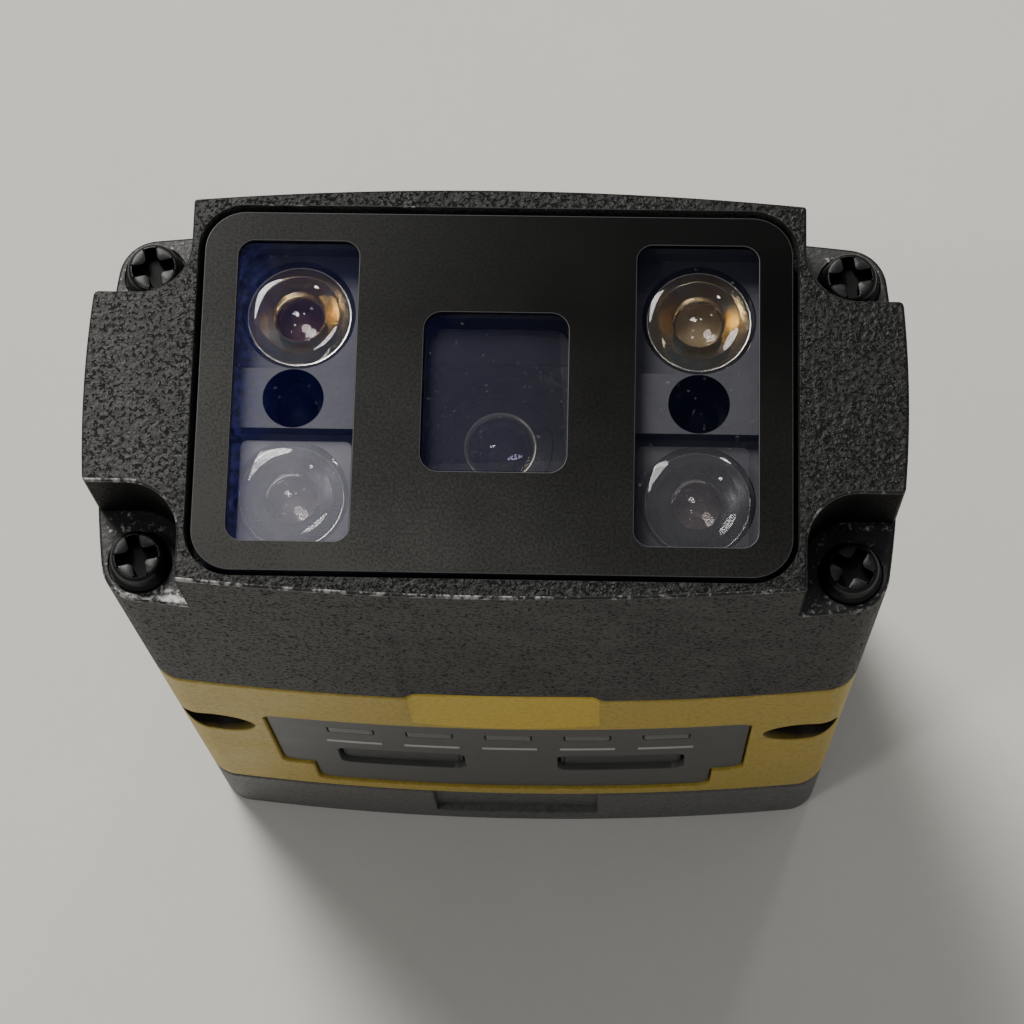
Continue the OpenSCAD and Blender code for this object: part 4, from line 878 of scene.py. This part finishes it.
def oneScrew(s, name, under, tip, up):
    top = under + up * s.headH
    head, flange, shank, curve = s.head, s.flange, s.shank, s.round
    brim = under + up * s.flangeH
    profile = [(0, top)] + arc(head - curve, top - up * curve, curve, up * math.pi / 2, 0, 8)
    profile += [(head, brim + up * 0.06), (head + 0.05, brim), (flange - 0.1, brim - up * 0.03),
                (flange, brim - up * 0.13), (flange, under + up * 0.08), (flange - 0.08, under),
                (shank, under), (shank, tip + up * 0.4), (shank - 0.3, tip), (0, tip)]
    screw = turned(profile, around=64, name=name, materials=["screwBlack"])
    low, high = sorted((top - up * s.crossD, top + up))
    a, b = s.crossW / 2, s.crossT / 2
    f, t = s.crossFillet, s.crossTip
    plus = [(a, -b, t), (a, b, t), (b, b, f), (b, a, t), (-b, a, t), (-b, b, f),
            (-a, b, t), (-a, -b, t), (-b, -b, f), (-b, -a, t), (b, -a, t), (b, -b, f)]
    carve(screw, prism(roundPolygon(plus, 4), low, high))

    def widths(middle, line):
        return s.crossEdge if abs(line.z) < 0.6 and abs(middle.z - top) < 0.4 else 0

    return soften(screw, widths, 2)


# painted shade: the cross recesses of a finished set are painted dark inside
def darkenRecess(piece, s, top, xStep, yStep):
    piece.data.materials.append(finishes["recessBlack"])
    for face in piece.data.polygons:
        out = math.hypot(abs(face.center.x) / mm - xStep, abs(face.center.y) / mm - yStep)
        deep = abs(face.center.z / mm - top)
        if out < s.crossW / 2 + 0.02 and 0.1 < deep < s.crossD + 0.05:
            face.material_index = 1


# node tree: the piece's own mesh at the corners of a rectangle, each turned by a seeded angle
def cornerTree(name, material):
    pen, given = newTree(name, {"Spacing X": "Float", "Spacing Y": "Float", "Seed": "Int"})
    sizes = {"Vertices X": 2, "Vertices Y": 2, "Size X": given["Spacing X"], "Size Y": given["Spacing Y"]}
    grid = pen.node("GeometryNodeMeshGrid", {}, sizes)
    turn = pen.node("FunctionNodeRandomValue", {"data_type": "FLOAT_VECTOR"},
                    {"Min": (0, 0, 0), "Max": (0, 0, math.pi / 2), "Seed": given["Seed"]})
    places = {"Points": grid, "Instance": given["Geometry"], "Rotation": turn}
    return endTree(pen, pen.node("GeometryNodeInstanceOnPoints", {}, places), material)


def makeScrews(s):
    tree = cornerTree("screwCorners", "screwBlack")
    for node in ("front_screws", "rear_screws"):
        k = s[node]
        group = oneScrew(s, camelName(node), k.under, k.tip, k.up)
        setOut(group, tree, {"Spacing X": 2 * k.x * mm, "Spacing Y": 2 * k.y * mm, "Seed": k.seed})
        darkenRecess(group, s, k.under + k.up * s.headH, k.x, k.y)
        hold(group, "shell_screw_black", node)


makeScrews(screws)
print("screws done")


# yellow middle cover and label face; cutters along y start outside the label face

farY, backY, deepY = -14, -6, -5
label = Values(w=30, h=14.5, z=16.5, tabW=26, tabH=5, r=0.9, tabR=0.4, drop=0.25, t=0.55, gap=0.12,
    edge=0.07, keyX=7.1, keyZ=19.4, keyW=7.9, keyH=4.4, keyR=0.7, keyGap=0.15, keyHole=0.7, keyHoleR=1.2,
    keyDrop=0.6, keyEdge=0.14, flange=0.5, flangeFront=0.92, flangeBack=1.32, stemR=1.1, stemFront=-10,
    stemBack=-9.5, count=5, pitch=4.95, lampZ=27.3, lampW=2.8, lampH=1.3, lampR=0.2, lampPlay=0.08,
    lampEdge=0.08, lampBack=-8.9, barX=11.8, barH=1.15, barFront=-9.1, barBack=-8.7)
cover = Values(hollow=(31.8, 18.4, 0.8), bay=(39.2, 9.2, 0.8), low=0, high=50,
    mountX=18.2, mountZ=27.5, mountR=1.25, mountEdge=0.16, pocketR=2.3, pocketY=9, holeEnd=5.4, edge=0.3,
    labelEdge=0.14, grooveW=11.6, grooveD=0.33, grooveSide=0.4, grooveStraight=3.8, grooveEnd=7.4,
    mouthY=8.6, mouthR=2, labelY=-10.2, labelTop=32)


def labelOutline(l, margin):
    a, b, r, t = l.w / 2 + margin, l.tabW / 2 + margin, l.r + margin, l.tabR
    low, mid, high = l.z - l.tabH - margin, l.z - margin, l.z + l.h + margin
    return roundPolygon([(a, mid, r), (a, high, r), (-a, high, r), (-a, mid, r),
                         (-b, mid, t), (-b, low, r), (b, low, r), (b, mid, t)])


def keyOutline(l, side, grow, corner):
    return roundRect(l.keyW + 2 * grow, l.keyH + 2 * grow, corner, side * l.keyX, l.keyZ)


def lampRow(l, grow):
    for i in range(l.count):
        x = (i - (l.count - 1) / 2) * l.pitch
        yield roundRect(l.lampW + 2 * grow, l.lampH + 2 * grow, l.lampR, x, l.lampZ, 4)


def makeCover(c, l):
    looks = ["yellowPaint", "yellowEdge", "yellowRamp", "pocketPaint"]
    piece = prism(crownedOutline(), zMidLow, zMidTop, "Z", "middleCover", looks)
    hollow(piece, c, c.low, c.high)
    sink = prism(labelOutline(l, l.gap), farY, backY, "Y")
    carve(sink, prism(crownedOutline(l.drop + l.t), c.low, c.high))
    carve(piece, sink)
    for s in (1, -1):
        carve(piece, prism(keyOutline(l, s, l.keyHole, l.keyHoleR), farY, deepY, "Y"))
        for side in (1, -1):
            at = (s * c.mountX, c.mountZ)
            pocket = sorted((-side * farY, side * c.pocketY))
            hole = sorted((-side * farY, side * c.holeEnd))
            carve(piece, prism(disc(c.pocketR, *at), *pocket, "Y"),
                  prism(disc(c.mountR, *at, 40), *hole, "Y"))
    for lamp in lampRow(l, l.lampPlay):
        carve(piece, prism(lamp, farY, deepY, "Y"))
    carve(piece, grooveCutter(c, zMidTop + 1, zMidTop - c.grooveStraight, zMidTop - c.grooveEnd))

    def widths(middle, line):
        if noRise(line) and (middle.z > zMidTop - tiny or middle.z < zMidLow + tiny):
            return c.edge if outside(middle) else 0
        x, z = abs(middle.x) - c.mountX, middle.z - c.mountZ
        if max(abs(x), abs(z)) < c.pocketR + 0.1:
            return c.mountEdge if abs(middle.y) > c.mouthY and math.hypot(x, z) > c.mouthR else 0
        if middle.y < c.labelY and middle.z < c.labelTop:
            return c.labelEdge
        return 0

    soften(piece, widths, 3, 1)
    for face in piece.data.polygons:  # painted highlight on the groove's faces, and painted shade deeper in the pockets
        x, y, z = face.center / mm
        inGroove = abs(x) < c.grooveW / 2 and z > zMidTop - c.grooveEnd - 0.1
        # painted highlight: the groove's faces get the lighter copy
        if inGroove and crownY(x, 0) + 0.02 < y < -10 and face.normal.y < -0.5:
            face.material_index = 2
        away = math.hypot(abs(x) - c.mountX, z - c.mountZ)
        if away < c.pocketR + 0.03 and abs(y) < body.d / 2 - 0.6:
            face.material_index = 3
    hold(piece, "cover_yellow", "middle_cover")


# a slice of the crowned body between two depths under the label face
def crownedSlice(outline, front, back, name, finish):
    piece = prism(outline, farY, backY, "Y", name, [finish])
    carve(piece, prism(crownedOutline(front), cover.low, cover.high), how="INTERSECT")
    return carve(piece, prism(crownedOutline(back), cover.low - 1, cover.high + 1))


def makePanel(l):
    panel = crownedSlice(labelOutline(l, 0), l.drop, l.drop + l.t, "labelPanel", "labelGrey")
    for s in (1, -1):
        carve(panel, prism(keyOutline(l, s, l.keyGap, l.keyR + l.keyGap), farY, deepY, "Y"))
    for lamp in lampRow(l, l.lampPlay):
        carve(panel, prism(lamp, farY, deepY, "Y"))
    hold(soften(panel, faceEdges(l.edge, l.drop), 2), "label_grey", "label_panel")


def makeKeys(l):
    for side, node in ((-1, "trigger_key"), (1, "tune_key")):
        name = camelName(node)
        outline = keyOutline(l, side, 0, l.keyR)
        key = crownedSlice(outline, l.keyDrop, l.flangeBack, name, "keyGrey")
        soften(key, faceEdges(l.keyEdge, l.keyDrop), 3)
        outline = keyOutline(l, side, l.flange, l.keyR + l.flange)
        flange = crownedSlice(outline, l.flangeFront, l.flangeBack, "flange", "keyGrey")
        outline = disc(l.stemR, side * l.keyX, l.keyZ, 40)
        stem = prism(outline, l.stemFront, l.stemBack, "Y", "stem", ["keyGrey"])
        hold(joinPieces(name, [key, flange, stem]), "key_dark", node, bodyName=node + "_body")


def makePipe(l):
    x, low, high = l.barX, l.lampZ - l.barH, l.lampZ + l.barH
    outline = [(-x, low), (x, low), (x, high), (-x, high)]
    lamps = [prism(outline, l.barFront, l.barBack, "Y", "bar", ["indicatorMilk"])]
    for lamp in lampRow(l, 0):
        one = prism(lamp, farY, l.lampBack, "Y", "lamp", ["indicatorMilk"])
        carve(one, prism(crownedOutline(l.drop), cover.low, cover.high), how="INTERSECT")
        lamps.append(soften(one, faceEdges(l.lampEdge, l.drop), 2))
    hold(joinPieces("lightPipe", lamps), "light_pipe_white", "light_pipe")


# node tree: the piece's own mesh in a centred row, bent to the crowned face
def rowTree(name, material):
    pen, given = newTree(name, {"Count": "Int", "Pitch": "Float", "Crown": "Float"})
    start = (given["Count"] - 1) * given["Pitch"] * -0.5
    offset = pen.node("ShaderNodeCombineXYZ", {}, {"X": given["Pitch"]})
    first = pen.node("ShaderNodeCombineXYZ", {}, {"X": start})
    steps = {"Count": given["Count"], "Offset": offset, "Start Location": first}
    line = pen.node("GeometryNodeMeshLine", {}, steps)
    row = pen.node("GeometryNodeInstanceOnPoints", {}, {"Points": line, "Instance": given["Geometry"]})
    real = pen.node("GeometryNodeRealizeInstances", {}, {"Geometry": row})
    x = pen.node("GeometryNodeInputPosition").part("X")
    back = pen.node("ShaderNodeCombineXYZ", {}, {"Y": x * x / (given["Crown"] * 2)})
    bent = pen.node("GeometryNodeSetPosition", {}, {"Geometry": real, "Offset": back})
    return endTree(pen, bent, material)


prints = Values(w=3.5, h=0.6, z=24, t=0.012, steps=8)


# printed dashes under the indicators
def makePrints(p, l):
    y = crownY(0, l.drop)
    low, high = p.z - p.h / 2, p.z + p.h / 2
    points = [(-p.w / 2 + p.w * k / p.steps, low) for k in range(p.steps + 1)]
    points += [(x, high) for x, z in reversed(points)]
    dash = prism(points, y - p.t, y + p.t, "Y", "printedDashes", ["printWhite"])
    crown = body.longCrown - l.drop
    sizes = {"Count": l.count, "Pitch": l.pitch * mm, "Crown": crown * mm}
    setOut(dash, rowTree("dashRow", "printWhite"), sizes)
    hold(dash, "label_grey")


makeCover(cover, label)
print("middle cover done")
makePanel(label)
makeKeys(label)
makePipe(label)
makePrints(prints, label)
print("label panel done")


# grey rear cover and its sockets

rear = Values(floor=2.2, high=20, hollow=(31.8, 18.4, 0.8), bay=(35, 9.2, 0.8),
    socketX=8.2, socketR=6.6, screwX=18, screwY=7.3, holeR=1.15, boreR=1.95, boreD=2, recessW=11.2,
    recessD=0.6, recessZ=2.6, edge=0.3, mouthEdge=0.12, recessEdge=0.1, recessY=-10.5)
sockets = Values(x=8.2, low=0.3, high=12.2, r=6.5, bore=5.45, lip=8.6, lipR=4.2, flange=7.6, flangeLow=2.2,
    flangeT=1.2, mouth=5.95, root=5.9, pitch=1, turns=6, firstTurn=1.3, inEdge=0.1, outEdge=0.15)


def makeRear(r):
    high = r.high
    piece = prism(crownedOutline(), 0, body.rear, "Z", "rearCover", ["greyPaint"])
    hollow(piece, r, r.floor, high)
    for sx in (1, -1):
        carve(piece, prism(disc(r.socketR, sx * r.socketX, 0, 96), -1, high))
        for sy in (1, -1):
            at = (sx * r.screwX, sy * r.screwY)
            carve(piece, prism(disc(r.holeR, *at, 40), -1, high), prism(disc(r.boreR, *at), -1, r.boreD))
    x, z = r.recessW / 2, r.recessZ
    carve(piece, prism([(-x, z), (x, z), (x, high), (-x, high)], farY, faceY + r.recessD, "Y"))

    def widths(middle, line):
        flat = noRise(line)
        if flat and outside(middle) and (middle.z > body.rear - tiny or middle.z < tiny):
            return r.edge
        if flat and middle.z < tiny:
            return r.mouthEdge
        return r.recessEdge if middle.y < r.recessY else 0

    hold(soften(piece, widths, 3), "cover_grey", "rear_cover")


# nickel shells: a chamfered mouth and the thread as a row of rings
def makeShells(k):
    low, high, r, bore = k.low, k.high, k.r, k.bore
    flangeTop = k.flangeLow + k.flangeT
    profile = [(k.mouth, low)]
    for i in range(k.turns):
        z = k.firstTurn + i * k.pitch
        for radius, share in ((bore, 0), (k.root, 0.36), (k.root, 0.5), (bore, 0.86)):
            profile.append((radius, z + share * k.pitch))
    profile += [(bore, k.lip), (k.lipR, k.lip), (k.lipR, high), (r - k.inEdge, high),
                (r, high - k.inEdge), (r, flangeTop), (k.flange, flangeTop), (k.flange, k.flangeLow),
                (r, k.flangeLow), (r, low + k.outEdge), (r - k.outEdge, low)]
    for side, node in ((-1, "network_shell"), (1, "power_shell")):
        shell = turned(profile, side * k.x, 0, closed=True, name=camelName(node), materials=["nickel"])
        hold(smooth(shell, 30), "socket_nickel", node)


makeRear(rear)
makeShells(sockets)
print("rear cover done")


# polished ring around the camera's front element

optics = Values(low=53.3, high=53.9, inner=1.75, outer=2.9, round=0.24, edge=0.05)


def makeRing(o):
    r, low, high, outer = o.round, o.low, o.high, o.outer
    profile = [(o.inner, low)] + arc(o.inner + r, high - r, r, math.pi, math.pi / 2, 6)
    profile += [(outer - o.edge, high), (outer, high - o.edge), (outer, low)]
    ring = turned(profile, closed=True, name="retainingRing", materials=["opticBlack", "ringSteel"])
    for face in ring.data.polygons:  # only the lip is bare metal
        if math.hypot(face.center.x, face.center.y) / mm < o.inner + r:
            face.material_index = 1
    hold(smooth(ring), "optic_black", "retaining_ring")


makeRing(optics)
print("camera ring done")


# pieces that keep their CAD shape

kept = {
    "sealRubber": ["window_gasket", "front_seal", "rear_seal"],
    "aimerDark": ["left_aimer", "right_aimer"],
    "boardGreen": ["light_board", "sensor_board", "processor_board", "power_board", "socket_board",
                   "key_board"],
    "smallSteel": ["light_board_screws", "sensor_board_screws", "key_board_screws"],
    "opticBlack": ["lens_barrel"],
    "holderGrey": ["lock_ring", "lens_holder"],
    "elementGlass": ["front_element"],
    "sensorDark": ["image_sensor"],
    "flexOrange": ["light_flex"],
    "connectorIvory": ["sensor_connector", "stack_connector", "power_header"],
    "castAluminium": ["chassis", "heat_spreader"],
    "chipBlack": ["processor", "beeper"],
    "diodeWhite": ["indicator_chips"],
    "switchGrey": ["trigger_switch", "tune_switch"],
    "insertBlack": ["network_insert", "power_insert"],
    "contactGold": ["network_contacts", "power_contacts"],
}
for finish, names in kept.items():
    for node in names:
        mesh = cadNodes[node].data
        mesh.materials.clear()
        mesh.materials.append(finishes[finish])
print("kept nodes painted")


# floor, light, camera; in metres, and the camera's eye in millimetres

warm, warmer = (1, 0.985, 0.955), (1, 0.97, 0.93)
studio = Values(
    floor=1.6, world=0.24, sky=(0.95, 0.97, 1, 1), aim=(0, 0, 0.04), lens=108.68, sensor=36,
    eye=(5.95, -49.7, 217.26), turn=(-0.2744, -0.0307, -0.0158),
    cloth=shade(0.725, 0.705, 0.66, 0.85, vary=0.03, cloud=60, tooth=900, strength=0.12,
        lift=0.0001),
    lamps=[("keyLamp", (-0.27, 0.48, 1), 0.3, 5.2, warm),  # name, place, size, power, colour
        ("sideBox", (-0.45, 0.65, 0.85), 0.42, 7.4, warm),
        ("frontLamp", (-0.46, -0.3, 1), 0.11, 1.15, warmer),
        ("rightLamp", (0.24, 0.62, 1), 0.09, 0.6, warmer)])


def makeFloor(s):
    bm = bmesh.new()
    bmesh.ops.create_grid(bm, x_segments=1, y_segments=1, size=s.floor / 2)
    addFinishes(plainFinish, floorCloth=s.cloth)
    meshObject("floor", bm, ["floorCloth"])


def makeLamps(s):
    world = bpy.data.worlds.new("studio")
    bpy.context.scene.world = world
    world.use_nodes = True
    back = world.node_tree.nodes["Background"]
    back.inputs["Color"].default_value = s.sky
    back.inputs["Strength"].default_value = s.world
    for name, place, size, power, colour in s.lamps:
        lamp = bpy.data.lights.new(name, "AREA")
        lamp.shape = "DISK"
        lamp.size = size
        lamp.energy = power
        lamp.color = colour
        made = bpy.data.objects.new(name, lamp)
        made.location = place
        made.rotation_euler = (Vector(s.aim) - Vector(place)).to_track_quat("-Z", "Y").to_euler()
        bpy.context.scene.collection.objects.link(made)


def makeCamera(s):
    camera = bpy.data.cameras.new("camera")
    camera.lens = s.lens
    camera.sensor_width = s.sensor
    camera.clip_start = 0.01
    camera.clip_end = 10
    eye = bpy.data.objects.new("camera", camera)
    ax, ay, az = s.turn
    turn = Matrix.Rotation(az, 3, "Z") @ Matrix.Rotation(ay, 3, "Y") @ Matrix.Rotation(ax, 3, "X")
    eye.matrix_world = Matrix.Translation(Vector(s.eye) * mm) @ turn.transposed().to_4x4()
    bpy.context.scene.collection.objects.link(eye)
    bpy.context.scene.camera = eye


makeFloor(studio)
makeLamps(studio)
makeCamera(studio)
print("scene done")
